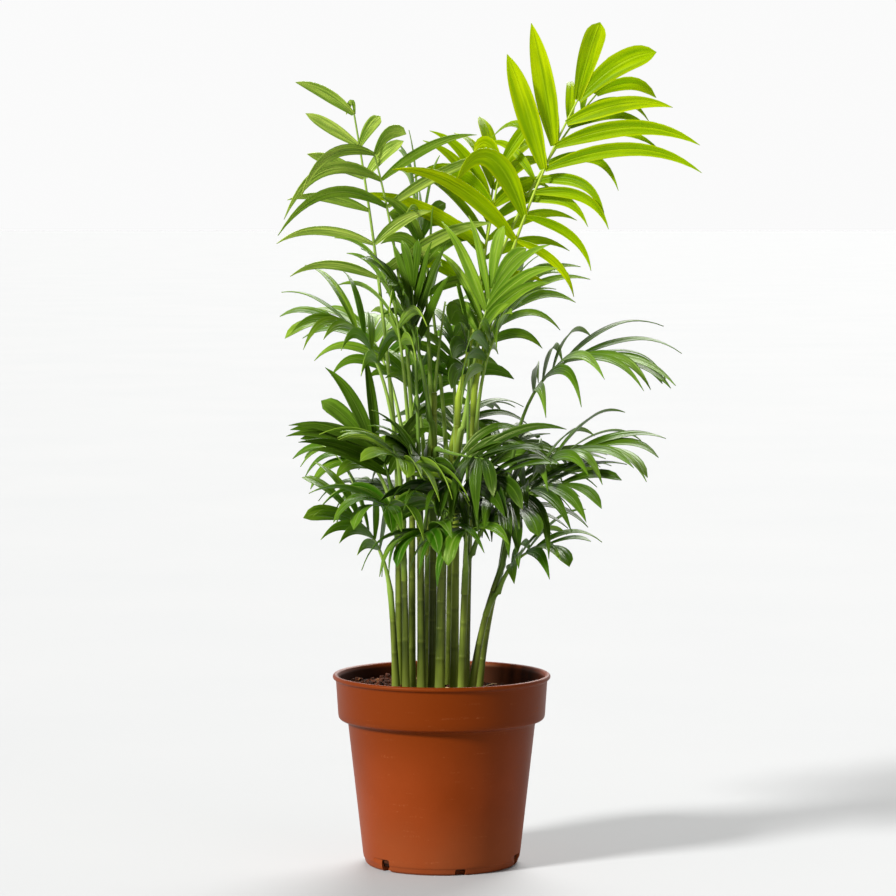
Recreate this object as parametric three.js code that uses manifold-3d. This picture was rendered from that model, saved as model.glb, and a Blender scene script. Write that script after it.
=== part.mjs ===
// Parlour palm in a round plastic nursery pot.
// Millimetres, +Z up. The origin is the centre of the pot's flat underside.
// Fifteen canes stand in the soil. Each frond is a petiole and rachis with pairs of leaflets.
import * as THREE from 'three';
import { mergeVertices } from 'three/addons/utils/BufferGeometryUtils.js';
import Module from 'manifold-3d';

const wasm = await Module();
wasm.setup();

// ---- clearances and counts

const GAP = 0.3;
const FINEST = 0.02; // shorter edges are merged where leaflets cross
const POT_SEGMENTS = 40;
const SOIL_SEGMENTS = 24;
const STEM_SIDES = 8;
const STEM_RINGS = 7;
const RACHIS_SIDES = 3;
const PETIOLE_STEPS = 4;
const LONG_LEAFLET = 54;

// ---- pot

const POT_WALL = [
  [0, 0], [39.6, 0], [42, 1.4], [42.9, 4], [43.5, 6.6], [51.4, 77], [56.2, 79.1], [56.8, 80.5],
  [58.2, 101.8], [59.8, 103], [60, 104.2], [59, 105], [57.2, 104.6], [56.5, 102.6], [55.3, 82.2],
  [50.3, 79.2], [42.1, 6.2], [40.6, 2.2], [0, 2.2],
];
// Drainage notches round the foot, low and tall ones by turns. A tall one stands in a shallow panel.
const NOTCH_COUNT = 6;
const NOTCH_TURN = 14;
const NOTCH_WIDTH = 6;
const NOTCH_TOPS = [3.6, 6.4];
const NOTCH_INNER = 37.6;
const NOTCH_OUTER = 47;
const PANEL_WIDTH = 13;
const PANEL_TOP = 7;
const PANEL_INNER = 42.3;
const PANEL_SHIFT = -3;

// ---- soil

const SOIL_BOTTOM = 2.5;
const SOIL_WALL = [[39.9, SOIL_BOTTOM], [41.5, 6.2], [49.7, 79.5], [54.5, 82.6]];
const SOIL_RIM = 54.9;
const SOIL_RINGS = [47, 32];
const SOIL_LEVEL = 95;
const SOIL_SLOPE = -0.055;
const SOCKET_DEPTH = 2;

// ---- canes: foot x and y, top x, y and z, foot radius

const STEM_TAPER = 0.35;
const STEM_FLARE = 0.2;
const STEM_FLARE_RISE = 7;
const STEMS = [
  { foot: [-25, -5], top: [-28, -6, 150], radius: 2.2 },
  { foot: [-23.5, 3], top: [-24, 4, 214], radius: 2.3 },
  { foot: [-19.5, -8], top: [-21, -10, 189], radius: 2.1 },
  { foot: [-16.5, 6], top: [-16, 9, 234], radius: 2.3 },
  { foot: [-11, -7], top: [-12, -9, 204], radius: 2.5 },
  { foot: [-8, 10], top: [-7, 14, 224], radius: 2.2 },
  { foot: [-5, -1], top: [-4, 0, 260], radius: 2.5 },
  { foot: [-1, -10], top: [0, -13, 185], radius: 2.7 },
  { foot: [4, 12], top: [6, 17, 229], radius: 2.2 },
  { foot: [7, -3], top: [9, -4, 256], radius: 2.5 },
  { foot: [11, -11], top: [14, -15, 181], radius: 2.4 },
  { foot: [13, 6], top: [18, 8, 260], radius: 2.5 },
  { foot: [16, -6], top: [33, -9, 165], radius: 2.2 },
  { foot: [20, 3.5], top: [35, 7, 171], radius: 2.2 },
  { foot: [0, 20], top: [2, 27, 199], radius: 2.2 },
];

// ---- fronds
// stem, at: the cane and the share of its height that the petiole leaves from (1 is its top).
// tip: end of the rachis. lean, rise: shares of the way to the tip at which the arch turns over.
// bare: share of the length with no leaflets. leaf, width: size of the middle leaflets.
// roll: turn of the blade about the rachis. angle, close: leaflets' angle at the base and at the end.
// bend: how far a leaflet's tip turns down. lift: rise of the leaflets out of the blade's plane.
// left, right: rows of [angle, length, bend, share of the width, share of the length before the bend].

const FROND = { at: 1, pairs: 6, leaf: 44, roll: 0, angle: 60, close: 25, bend: 60, lift: 15, knee: 0.58 };
const FRONDS = [
  {
    stem: 11, tip: [75, 4, 421], lean: 0.3, rise: 0.53, bare: 0.5, pairs: 7, width: 12, roll: 90,
    lift: 10, tone: 'new',
    left: [
      [56, 88, 54, 0.8], [42, 92, 130, 1, 0.6], null, [38, 66, 8, 1.05], [34, 68, 4], null,
      [14, 44, 6],
    ],
    right: [
      [88, 50, 62, 0.42], [80, 54, 66, 0.45], [62, 56, 74, 0.5], [46, 94, 50, 0.68],
      [44, 86, 48, 0.78], [38, 62, 40, 0.78], [16, 52, 34, 1.05],
    ],
  },
  {
    stem: 9, tip: [86, 30, 424], lean: 0.25, rise: 0.6, bare: 0.6, pairs: 7, leaf: 54, width: 6,
    roll: 45, angle: 62, close: 22, bend: 80, tone: 'new',
  },
  {
    stem: 8, tip: [33, 18, 386], lean: 0.45, rise: 0.5, bare: 0.55, pairs: 4, width: 8.5, roll: 80,
    lift: 10, tone: 'new',
    left: [[60, 62, 60, 0.9], [60, 82, 40], [46, 62, 84, 0.9], [30, 36, 130, 0.9, 0.6]],
    right: [[50, 40, 50, 0.8], null, [40, 45, 40, 0.8], [18, 36, 20, 0.8]],
  },
  {
    stem: 1, tip: [-48, 6, 413], lean: 0.35, rise: 0.55, bare: 0.52, width: 7, roll: -80, tone: 'mid',
    left: [
      [56, 56, 60, 0.8], [58, 60, 56, 0.8], [58, 50, 40, 0.8], [54, 35, 14], [48, 34, 4], [40, 38, 30],
    ],
    right: [
      [50, 34, 50, 0.9], [50, 38, 40, 0.9], null, [42, 30, 30], [36, 20, 20], [6, 26, 160, 1, 0.5],
    ],
  },
  {
    stem: 3, tip: [-37, 2, 391], lean: 0.18, rise: 0.6, bare: 0.56, pairs: 5, width: 7, roll: -80,
    lift: 12, tone: 'mid',
    left: [
      [60, 96, 88, 1, 0.5], [46, 102, 64, 1, 0.5], [50, 92, 78, 0.9, 0.5], [50, 88, 88, 1, 0.5],
      [62, 68, 74, 0.9, 0.5],
    ],
    right: [[60, 60, 34], null, [62, 72, 36, 0.9], [60, 64, 44, 0.8], [36, 32, 100, 1.1, 0.6]],
  },
  {
    stem: 4, tip: [-16, -8, 318], lean: 0.3, rise: 0.55, bare: 0.6, pairs: 5, leaf: 42, width: 5.5,
    roll: 70, angle: 30, close: 8, bend: 12, tone: 'old',
  },
  {
    stem: 10, tip: [15, -20, 298], lean: 0.2, rise: 0.5, bare: 0.78, pairs: 3, width: 11, roll: 80,
    tone: 'old',
    left: [[72, 34, 60, 0.8], [52, 34, 40, 0.9], [34, 28, 12, 1.2]],
    right: [[72, 36, 70, 0.8], [62, 38, 70, 0.9], [48, 42, 76, 1.1]],
  },
  {
    stem: 5, tip: [2, -12, 310], lean: 0.5, rise: 0.5, bare: 0.62, pairs: 4, leaf: 54, width: 9,
    roll: 65, angle: 62, close: 30, bend: 25, tone: 'mid',
  },
  {
    stem: 2, tip: [-56, -18, 299], lean: 0.15, rise: 0.95, bare: 0.58, leaf: 52, width: 6.5, roll: -30,
    angle: 58, bend: 66, tone: 'mid',
  },
  {
    stem: 11, at: 0.8, tip: [31, -14, 294], lean: 0.2, rise: 0.75, bare: 0.56, leaf: 56, width: 6,
    roll: 40, angle: 66, bend: 66, tone: 'mid',
  },
  {
    stem: 13, tip: [90, -4, 280], lean: 0, rise: 1.06, bare: 0.54, pairs: 7, leaf: 60, width: 6.5,
    roll: 20, angle: 62, close: 10, bend: 74, tone: 'old',
  },
  {
    stem: 12, tip: [84, -22, 231], lean: 0.15, rise: 1, bare: 0.42, pairs: 7, leaf: 54, width: 7,
    roll: 15, angle: 62, close: 22, bend: 62, tone: 'old',
  },
  {
    stem: 10, at: 0.9, tip: [66, -42, 213], lean: 0.2, rise: 0.9, bare: 0.42, leaf: 52, width: 7,
    roll: 25, angle: 62, tone: 'old',
  },
  {
    stem: 13, at: 0.85, tip: [58, 56, 222], lean: 0.2, rise: 0.9, bare: 0.42, leaf: 46, width: 7,
    roll: 10, tone: 'old',
  },
  {
    stem: 0, tip: [-49, -16, 193], lean: 0.2, rise: 0.75, bare: 0.45, pairs: 5, leaf: 50, width: 7,
    roll: -45, angle: 55, close: 22, bend: 34, tone: 'mid',
  },
  {
    stem: 4, at: 0.9, tip: [-22, -44, 226], lean: 0.25, rise: 0.9, bare: 0.5, pairs: 6, leaf: 52,
    width: 7, roll: -30, angle: 62, bend: 56, tone: 'mid',
  },
  {
    stem: 2, at: 0.9, tip: [-42, -10, 235], lean: 0.2, rise: 0.9, bare: 0.45, leaf: 50, width: 7,
    roll: -65, angle: 50, close: 20, bend: 22, tone: 'old',
  },
  {
    stem: 6, at: 0.8, tip: [24, -38, 226], lean: 0.3, rise: 0.8, bare: 0.6, pairs: 5, leaf: 50,
    width: 7, roll: 40, angle: 66, close: 30, tone: 'old',
  },
  {
    stem: 12, at: 0.8, tip: [56, -24, 177], lean: 0.3, rise: 0.9, bare: 0.42, pairs: 5, leaf: 42,
    width: 7, roll: 20, close: 30, tone: 'mid',
  },
  {
    stem: 7, at: 0.9, tip: [-8, -48, 187], lean: 0.3, rise: 1, bare: 0.42, leaf: 48, width: 8,
    roll: 20, angle: 64, bend: 95, tone: 'mid',
  },
  {
    stem: 10, at: 0.8, tip: [14, -56, 189], lean: 0.3, rise: 1, bare: 0.55, pairs: 5, leaf: 50,
    width: 8.5, roll: 10, angle: 64, bend: 90, tone: 'mid',
  },
  {
    stem: 7, tip: [30, -40, 216], lean: 0.2, rise: 0.8, bare: 0.4, leaf: 52, width: 7.5, roll: 40,
    angle: 62, tone: 'old',
  },
  {
    stem: 9, at: 0.68, tip: [44, -46, 200], lean: 0.3, rise: 0.8, bare: 0.55, pairs: 5, leaf: 50,
    width: 7.5, roll: 20, bend: 48, tone: 'old',
  },
  {
    stem: 14, tip: [12, 78, 247], lean: 0.2, rise: 0.85, bare: 0.5, leaf: 44, width: 7, tone: 'old',
  },
  {
    stem: 8, at: 0.85, tip: [42, 72, 316], lean: 0.25, rise: 0.7, bare: 0.6, leaf: 50, width: 7.5,
    tone: 'mid',
  },
  {
    stem: 3, at: 0.8, tip: [-44, 62, 294], lean: 0.25, rise: 0.75, bare: 0.6, leaf: 48, width: 7,
    tone: 'mid',
  },
  {
    stem: 5, at: 0.8, tip: [-22, 84, 225], lean: 0.25, rise: 0.9, bare: 0.5, leaf: 42, width: 7,
    tone: 'old',
  },
  {
    stem: 14, at: 0.85, tip: [-42, 64, 205], lean: 0.25, rise: 0.9, bare: 0.5, leaf: 40, width: 7,
    tone: 'old',
  },
  {
    stem: 8, at: 0.7, tip: [50, 66, 205], lean: 0.25, rise: 0.9, bare: 0.5, leaf: 40, width: 7,
    tone: 'old',
  },
  {
    stem: 1, at: 0.8, tip: [-54, 26, 227], lean: 0.2, rise: 0.9, bare: 0.5, leaf: 40, width: 7,
    roll: -10, tone: 'mid',
  },
  {
    stem: 8, at: 0.95, tip: [-16, 34, 369], lean: 0.25, rise: 0.55, bare: 0.6, leaf: 54, width: 6.5,
    roll: 50, angle: 48, close: 18, bend: 50, tone: 'mid',
  },
  {
    stem: 11, at: 0.9, tip: [30, 62, 381], lean: 0.3, rise: 0.6, bare: 0.6, leaf: 56, width: 7,
    roll: 40, angle: 50, close: 22, tone: 'new',
  },
  {
    stem: 6, at: 0.9, tip: [-26, -22, 314], lean: 0.3, rise: 0.7, bare: 0.58, pairs: 5, leaf: 44,
    width: 6.5, roll: -40, angle: 52, close: 22, bend: 50, tone: 'old',
  },
  {
    stem: 9, at: 0.9, tip: [28, -12, 318], lean: 0.4, rise: 0.6, bare: 0.62, pairs: 5, leaf: 50,
    width: 6.5, roll: 75, angle: 48, close: 16, bend: 28, tone: 'mid',
  },
  {
    stem: 3, at: 0.9, tip: [-28, -22, 319], lean: 0.3, rise: 0.7, bare: 0.58, pairs: 5, leaf: 58,
    width: 6.5, roll: -50, angle: 62, tone: 'mid',
  },
  {
    stem: 2, at: 0.8, tip: [-32, -46, 201], lean: 0.2, rise: 1, bare: 0.42, leaf: 50, width: 8,
    roll: -15, angle: 62, bend: 84, tone: 'mid',
  },
  {
    stem: 4, at: 0.75, tip: [4, -44, 212], lean: 0.2, rise: 1, bare: 0.42, leaf: 52, width: 7,
    roll: 20, angle: 62, bend: 80, tone: 'old',
  },
  {
    stem: 9, at: 0.75, tip: [6, 24, 288], lean: 0.3, rise: 0.7, bare: 0.6, pairs: 5, leaf: 40,
    width: 7, roll: 30, angle: 62, bend: 70, tone: 'mid',
  },
  {
    stem: 6, at: 0.6, tip: [-18, -30, 227], lean: 0.2, rise: 0.85, bare: 0.42, leaf: 40, width: 8,
    roll: -45, angle: 54, close: 18, bend: 45, tone: 'old',
  },
  {
    stem: 11, at: 0.6, tip: [44, 34, 230], lean: 0.2, rise: 0.9, bare: 0.45, leaf: 42, width: 7,
    roll: 30, tone: 'old',
  },
  {
    stem: 5, at: 0.55, tip: [2, -36, 205], lean: 0.2, rise: 0.9, bare: 0.4, leaf: 42, width: 7.5,
    roll: -30, angle: 62, bend: 75, tone: 'old',
  },
  {
    stem: 5, at: 0.95, tip: [-16, 26, 266], lean: 0.3, rise: 0.75, bare: 0.5, pairs: 5, leaf: 40,
    width: 7, roll: 10, tone: 'mid',
  },
  {
    stem: 6, at: 0.95, tip: [-6, 16, 346], lean: 0.3, rise: 0.6, bare: 0.6, pairs: 5, leaf: 42,
    width: 7, roll: 15, tone: 'mid',
  },
];

const RACHIS_FOOT = 1.5;
const RACHIS_TIP = 0.7;
const ROOT_SHARE = 0.3;
const ROOT_SHORTEST = 1.7;
const ROOT_LONGEST = 3.2;
const LEAF_THICK = 0.9;
const LEAF_SLIM = 95;
const STEEPEST = -86;

// Where a petiole would touch a neighbour it is turned about its cane, and arched more or less.
const FROND_TURNS = [0, 6, -6, 12, -12, 19, -19, 27, -27, 36, -36];
const FROND_RISES = [0, 0.08, -0.08, 0.16];
// A leaflet that would touch is swung, lifted, bent or shortened: [swing, lift, bend, length].
const LEAF_SHIFTS = [
  [0, 0, 0, 1], [0, 12, 0, 1], [0, -12, 0, 1], [8, 0, 0, 1], [-8, 0, 0, 1], [0, 24, 10, 0.96],
  [0, -24, 10, 0.96], [10, 16, 15, 0.88], [-10, -16, 15, 0.88], [10, -18, -15, 0.84],
  [-12, 20, -20, 0.8], [0, 36, 20, 0.74], [0, -36, -20, 0.74], [14, 0, 30, 0.66],
];

const COLOURS = {
  pot: 0xa9522c,
  soil: 0x3a2519,
  stem: 0x6f8a2c,
  new: 0xa8c81e,
  mid: 0x5c9426,
  old: 0x2f6a1e,
};

// ---- numbers and curves

const UP = new THREE.Vector3(0, 0, 1);

function point(x, y, z) {
  return new THREE.Vector3(x, y, z);
}

function radians(degrees) {
  return THREE.MathUtils.degToRad(degrees);
}

/** A small multiplicative generator, so that the same seed always grows the same frond. */
function dice(seed) {
  let state = (seed * 7919 + 17) % 2147483647;
  const next = () => {
    state = (state * 48271) % 2147483647;
    return state / 2147483647;
  };
  next();
  next();
  next();
  return (low, high) => low + (high - low) * next();
}

/** The part of a vector that is square to an axis, as a unit vector. */
function squareTo(vector, axis) {
  return vector.clone().addScaledVector(axis, -vector.dot(axis)).normalize();
}

/** An arc with one turning point. */
function arc(start, turn, end) {
  return new THREE.QuadraticBezierCurve3(start, turn, end);
}

// ---- solids

/**
 * A closed solid through rings of points, each in turn about the way it is going.
 * Rings may differ in count, and a ring of one point closes the solid to an apex.
 */
function loft(rings) {
  const faces = [];
  let start = 0;
  for (let i = 0; i + 1 < rings.length; i += 1) {
    const near = rings[i].length;
    const far = rings[i + 1].length;
    const next = start + near;
    let a = 0;
    let b = 0;
    while (a < near || b < far) {
      const here = start + (a % near);
      const there = next + (b % far);
      if (b === far || (a < near && (a + 1) * far < (b + 1) * near)) {
        a += 1;
        if (near > 1) {
          faces.push(here, start + (a % near), there);
        }
      } else {
        b += 1;
        if (far > 1) {
          faces.push(here, next + (b % far), there);
        }
      }
    }
    start = next;
  }
  for (let j = 1; j + 1 < rings[0].length; j += 1) {
    faces.push(0, j + 1, j);
  }
  for (let j = 1; j + 1 < rings.at(-1).length; j += 1) {
    faces.push(start, start + j, start + j + 1);
  }
  const vertProperties = new Float32Array(rings.flat().flatMap((p) => p.toArray()));
  const triVerts = new Uint32Array(faces);
  return new wasm.Manifold(new wasm.Mesh({ numProp: 3, vertProperties, triVerts }));
}

/** A solid from a closed three.js geometry. */
function fromGeometry(geometry) {
  const bare = geometry.clone();
  bare.deleteAttribute('normal');
  bare.deleteAttribute('uv');
  const merged = mergeVertices(bare, 1e-4);
  const vertProperties = new Float32Array(merged.attributes.position.array);
  const triVerts = new Uint32Array(merged.index.array);
  return new wasm.Manifold(new wasm.Mesh({ numProp: 3, vertProperties, triVerts }));
}

/** A named three.js mesh of a solid, with a material of its own. */
function toMesh(solid, name, colour, roughness) {
  const data = solid.getMesh();
  const geometry = new THREE.BufferGeometry();
  const step = data.numProp;
  const places = [];
  for (let i = 0; i < data.vertProperties.length; i += step) {
    places.push(data.vertProperties[i], data.vertProperties[i + 1], data.vertProperties[i + 2]);
  }
  geometry.setAttribute('position', new THREE.Float32BufferAttribute(places, 3));
  geometry.setIndex(Array.from(data.triVerts));
  geometry.computeVertexNormals();
  const material = new THREE.MeshStandardMaterial({ color: colour, roughness, metalness: 0 });
  const mesh = new THREE.Mesh(geometry, material);
  mesh.name = name;
  return mesh;
}

/** A ring of points about a centre, in the plane of two unit vectors. */
function ring(centre, first, second, radius, sides) {
  const points = [];
  for (let i = 0; i < sides; i += 1) {
    const turn = (2 * Math.PI * i) / sides;
    points.push(
      centre
        .clone()
        .addScaledVector(first, radius * Math.cos(turn))
        .addScaledVector(second, radius * Math.sin(turn)),
    );
  }
  return points;
}

// ---- neighbours

/** The box of a solid, used to find the neighbours worth measuring. */
function boxOf(solid) {
  const { min, max } = solid.boundingBox();
  return new THREE.Box3(new THREE.Vector3(...min), new THREE.Vector3(...max)).expandByScalar(GAP);
}

/** Whether a solid keeps the gap from every neighbour in the list. */
function isClear(solid, neighbours) {
  const box = boxOf(solid);
  return neighbours.every(
    (other) => !box.intersectsBox(other.box) || solid.minGap(other.solid, GAP) >= GAP * 0.999,
  );
}

// ---- pot and soil

function buildPot() {
  const profile = POT_WALL.map(([r, z]) => new THREE.Vector2(r, z));
  const lathe = new THREE.LatheGeometry(profile, POT_SEGMENTS).rotateX(Math.PI / 2);
  let pot = fromGeometry(lathe);
  // A block from an inner radius outwards, turned about the axis.
  const block = (width, inner, top, shift, turn) => {
    const box = new THREE.BoxGeometry(width, NOTCH_OUTER - inner, 2 * top);
    box.translate(shift, -(inner + NOTCH_OUTER) / 2, 0);
    return fromGeometry(box.rotateZ(radians(turn)));
  };
  for (let i = 0; i < NOTCH_COUNT; i += 1) {
    const turn = NOTCH_TURN + (360 / NOTCH_COUNT) * i;
    const top = NOTCH_TOPS[i % NOTCH_TOPS.length];
    pot = pot.subtract(block(NOTCH_WIDTH, NOTCH_INNER, top, 0, turn));
    if (top === NOTCH_TOPS[1]) {
      pot = pot.subtract(block(PANEL_WIDTH, PANEL_INNER, PANEL_TOP, PANEL_SHIFT, turn));
    }
  }
  return pot;
}

/** Height of the soil, which is banked towards -X and slightly uneven. */
function soilHeight(x, y) {
  const waves = 0.9 * Math.sin(0.17 * x + 0.9) * Math.cos(0.15 * y);
  return SOIL_LEVEL + SOIL_SLOPE * x + waves + 0.7 * Math.sin(0.31 * y + 0.2 * x);
}

function buildSoil() {
  const circle = (radius, height) => {
    const points = [];
    for (let i = 0; i < SOIL_SEGMENTS; i += 1) {
      const turn = (2 * Math.PI * i) / SOIL_SEGMENTS;
      const x = radius * Math.cos(turn);
      const y = radius * Math.sin(turn);
      points.push(point(x, y, height ?? soilHeight(x, y)));
    }
    return points;
  };
  const rings = [[point(0, 0, SOIL_BOTTOM)]];
  for (const [radius, height] of SOIL_WALL) {
    rings.push(circle(radius, height));
  }
  rings.push(circle(SOIL_RIM));
  for (const radius of SOIL_RINGS) {
    rings.push(circle(radius));
  }
  rings.push([point(0, 0, soilHeight(0, 0))]);
  return loft(rings);
}

// ---- canes

function stemCurve(stem) {
  const [footX, footY] = stem.foot;
  const [topX, topY, topZ] = stem.top;
  const footZ = soilHeight(footX, footY) - SOCKET_DEPTH;
  const turn = point(
    footX + 0.25 * (topX - footX),
    footY + 0.25 * (topY - footY),
    footZ + 0.55 * (topZ - footZ),
  );
  return arc(point(footX, footY, footZ), turn, point(topX, topY, topZ));
}

function stemRadius(stem, share) {
  return stem.radius * (1 - STEM_TAPER * share);
}

/** A cane with its taper and root flare. It can be grown all over to cut its socket. */
function buildStem(stem, grow = 0) {
  const curve = stemCurve(stem);
  const length = curve.getLength();
  const rings = [];
  for (let i = 0; i < STEM_RINGS; i += 1) {
    const share = (i / (STEM_RINGS - 1)) ** 1.5;
    const centre = curve.getPoint(share);
    const along = curve.getTangent(share);
    const first = squareTo(point(1, 0, 0), along);
    const second = along.clone().cross(first);
    const flare = 1 + STEM_FLARE * Math.exp((-share * length) / STEM_FLARE_RISE);
    if (i === 0) {
      centre.addScaledVector(along, -grow);
    }
    rings.push(ring(centre, first, second, stemRadius(stem, share) * flare + grow, STEM_SIDES));
  }
  return loft(rings);
}

// ---- fronds

/** The curve of a petiole and rachis, for one turn about its cane and one change of its arch. */
function rachisCurve(frond, turn, lift) {
  const stem = STEMS[frond.stem];
  const cane = stemCurve(stem);
  const foot = cane.getPoint(frond.at);
  const along = cane.getTangent(frond.at);
  const tip = point(...frond.tip).sub(foot).applyAxisAngle(UP, radians(turn)).add(foot);
  const towards = (root) => point(
    THREE.MathUtils.lerp(root.x, tip.x, frond.lean),
    THREE.MathUtils.lerp(root.y, tip.y, frond.lean),
    THREE.MathUtils.lerp(root.z, tip.z, frond.rise + lift),
  );
  const root = foot.clone();
  if (frond.at < 1) {
    const out = squareTo(tip.clone().sub(foot), along);
    root.addScaledVector(out, stemRadius(stem, frond.at) + RACHIS_FOOT + 1.2 * GAP);
  } else {
    const tilt = towards(foot).sub(foot).angleTo(along);
    root.addScaledVector(along, 1.2 * GAP + RACHIS_FOOT * Math.sin(tilt));
  }
  return arc(root, towards(root), tip);
}

/** Place, direction, upper side and right-hand side of the blade at a share of the curve. */
function bladeAt(curve, share, roll) {
  const place = curve.getPoint(share);
  const along = curve.getTangent(share);
  const out = curve.v2.clone().sub(curve.v0).setZ(0).normalize();
  const level = squareTo(out.clone().cross(UP), along);
  const face = level.clone().cross(along).applyAxisAngle(along, radians(roll));
  return { along, face, side: along.clone().cross(face), place };
}

/** Shares of the curve at which each pair of leaflets starts and ends. */
function pairSpans(frond, curve) {
  const root = THREE.MathUtils.clamp(frond.width * ROOT_SHARE, ROOT_SHORTEST, ROOT_LONGEST);
  const half = root / curve.getLength() / 2;
  const spans = [];
  for (let j = 0; j < frond.pairs; j += 1) {
    const middle = THREE.MathUtils.lerp(frond.bare, 1 - half, j / (frond.pairs - 1));
    spans.push([middle - half, Math.min(1, middle + half)]);
  }
  return spans;
}

/** The three points of a rachis about its curve. The first is on its upper side. */
function rachisRing(curve, share, roll) {
  const { place, face, side } = bladeAt(curve, share, roll);
  const radius = THREE.MathUtils.lerp(RACHIS_FOOT, RACHIS_TIP, share);
  return ring(place, face, side, radius, RACHIS_SIDES);
}

function buildRachis(frond, curve) {
  const shares = pairSpans(frond, curve).flat();
  const bare = shares[0];
  for (let i = PETIOLE_STEPS - 1; i >= 0; i -= 1) {
    shares.unshift((bare * i) / PETIOLE_STEPS);
  }
  return loft(shares.map((share) => rachisRing(curve, share, frond.roll)));
}

/** Sizes of every leaflet of a frond, before any of them is moved aside. */
function leafletPlan(frond, index) {
  const cast = dice(index + 11);
  const plan = [];
  for (const hand of [-1, 1]) {
    const rows = hand < 0 ? frond.left : frond.right;
    for (let j = 0; j < frond.pairs; j += 1) {
      const share = j / (frond.pairs - 1);
      const size = 0.62 + 0.62 * Math.sin(Math.PI * (0.15 + 0.62 * share)) - 0.36 * share;
      const leaf = {
        hand,
        pair: j,
        angle: THREE.MathUtils.lerp(frond.angle, frond.close, share) * cast(0.88, 1.12),
        length: frond.leaf * size * cast(0.9, 1.1),
        bend: frond.bend * (1.15 - 0.5 * share) * cast(0.6, 1.4),
        width: frond.width * cast(0.85, 1.12) * (j === frond.pairs - 1 ? 1.2 : 1),
        knee: FROND.knee,
        lift: frond.lift * cast(0.5, 1.5),
        twist: cast(-18, 18) * hand,
      };
      if (rows?.[j]) {
        const [angle, length, bend, width = 1, knee = FROND.knee] = rows[j];
        Object.assign(leaf, { angle, length, bend, width: frond.width * width, knee });
      }
      if (!rows || rows[j]) {
        plan.push(leaf);
      }
    }
  }
  return plan;
}

/** The rachis face that a leaflet grows from, as a ring about the way the leaflet goes. */
function leafletRoot(frond, curve, leaf) {
  const [start, end] = pairSpans(frond, curve)[leaf.pair];
  const near = rachisRing(curve, start, frond.roll);
  const far = rachisRing(curve, end, frond.roll);
  return leaf.hand < 0 ? [near[2], near[0], far[0], far[2]] : [near[0], near[1], far[1], far[0]];
}

/** The midline of a leaflet and its width direction at the root. */
function leafletCurve(leaf, root, blade, [swing, raise, droop, scale]) {
  const angle = radians(leaf.angle + swing);
  const lift = radians(leaf.lift + raise);
  const length = leaf.length * scale;
  const aside = blade.side.clone().multiplyScalar(leaf.hand * Math.cos(lift));
  aside.addScaledVector(blade.face, Math.sin(lift));
  const start = blade.along.clone().multiplyScalar(Math.cos(angle));
  start.addScaledVector(aside, Math.sin(angle)).normalize();
  const flat = Math.hypot(start.x, start.y);
  const slope = Math.max(Math.atan2(start.z, flat) - radians(leaf.bend + droop), radians(STEEPEST));
  const end = point(start.x / flat, start.y / flat, 0).multiplyScalar(Math.cos(slope));
  end.z = Math.sin(slope);
  const middle = root.reduce((sum, corner) => sum.addScaledVector(corner, 0.25), point(0, 0, 0));
  const knee = middle.clone().addScaledVector(start, length * leaf.knee);
  const tip = knee.clone().addScaledVector(end, length * (1 - leaf.knee));
  const width = blade.face.clone().cross(start).normalize().applyAxisAngle(start, radians(leaf.twist));
  return { curve: arc(middle, knee, tip), width, length };
}

/** A leaflet: a low three-sided section that leaves the rachis face and closes at the tip. */
function buildLeaflet(leaf, root, { curve, width, length }) {
  const long = [[0.24, 0.9], [0.5, 0.94], [0.78, 0.56]];
  const short = [[0.32, 0.97], [0.7, 0.7]];
  const thick = Math.max(LEAF_THICK, length / LEAF_SLIM);
  const rings = [root];
  for (const [share, part] of leaf.length > LONG_LEAFLET ? long : short) {
    const centre = curve.getPoint(share);
    const along = curve.getTangent(share);
    const across = squareTo(width, along);
    const half = (leaf.width * part) / 2;
    const ridge = centre.clone().addScaledVector(along.clone().cross(across), thick);
    const low = centre.clone().addScaledVector(across, -half);
    const high = centre.clone().addScaledVector(across, half);
    rings.push(leaf.hand < 0 ? [high, ridge, low] : [ridge, low, high]);
  }
  rings.push([curve.v2]);
  return loft(rings);
}

/** The first rachis of a frond that keeps clear of everything placed so far. */
function placeRachis(frond, neighbours) {
  for (const lift of FROND_RISES) {
    for (const turn of FROND_TURNS) {
      const curve = rachisCurve(frond, turn, lift);
      const solid = buildRachis(frond, curve);
      if (isClear(solid, neighbours)) {
        return { curve, solid };
      }
    }
  }
  return null;
}

// ---- scene

const palm = new THREE.Group();
palm.name = 'potted_parlour_palm';

const pot = buildPot();
let soil = buildSoil();
const neighbours = [];
for (const solid of [pot, soil]) {
  neighbours.push({ solid, box: boxOf(solid) });
}
const stems = STEMS.map((stem) => buildStem(stem));
for (const [i, solid] of stems.entries()) {
  soil = soil.subtract(buildStem(STEMS[i], GAP));
  neighbours.push({ solid, box: boxOf(solid) });
}
palm.add(toMesh(pot, 'pot', COLOURS.pot, 0.5));
palm.add(toMesh(soil, 'soil', COLOURS.soil, 0.95));
for (const [i, solid] of stems.entries()) {
  palm.add(toMesh(solid, `stem_${String(i + 1).padStart(2, '0')}`, COLOURS.stem, 0.5));
}

const fronds = FRONDS.map((row) => ({ ...FROND, ...row }));
const placed = fronds.map((frond) => {
  const rachis = placeRachis(frond, neighbours);
  if (rachis) {
    neighbours.push({ solid: rachis.solid, box: boxOf(rachis.solid), owner: frond });
  }
  return rachis;
});

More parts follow.
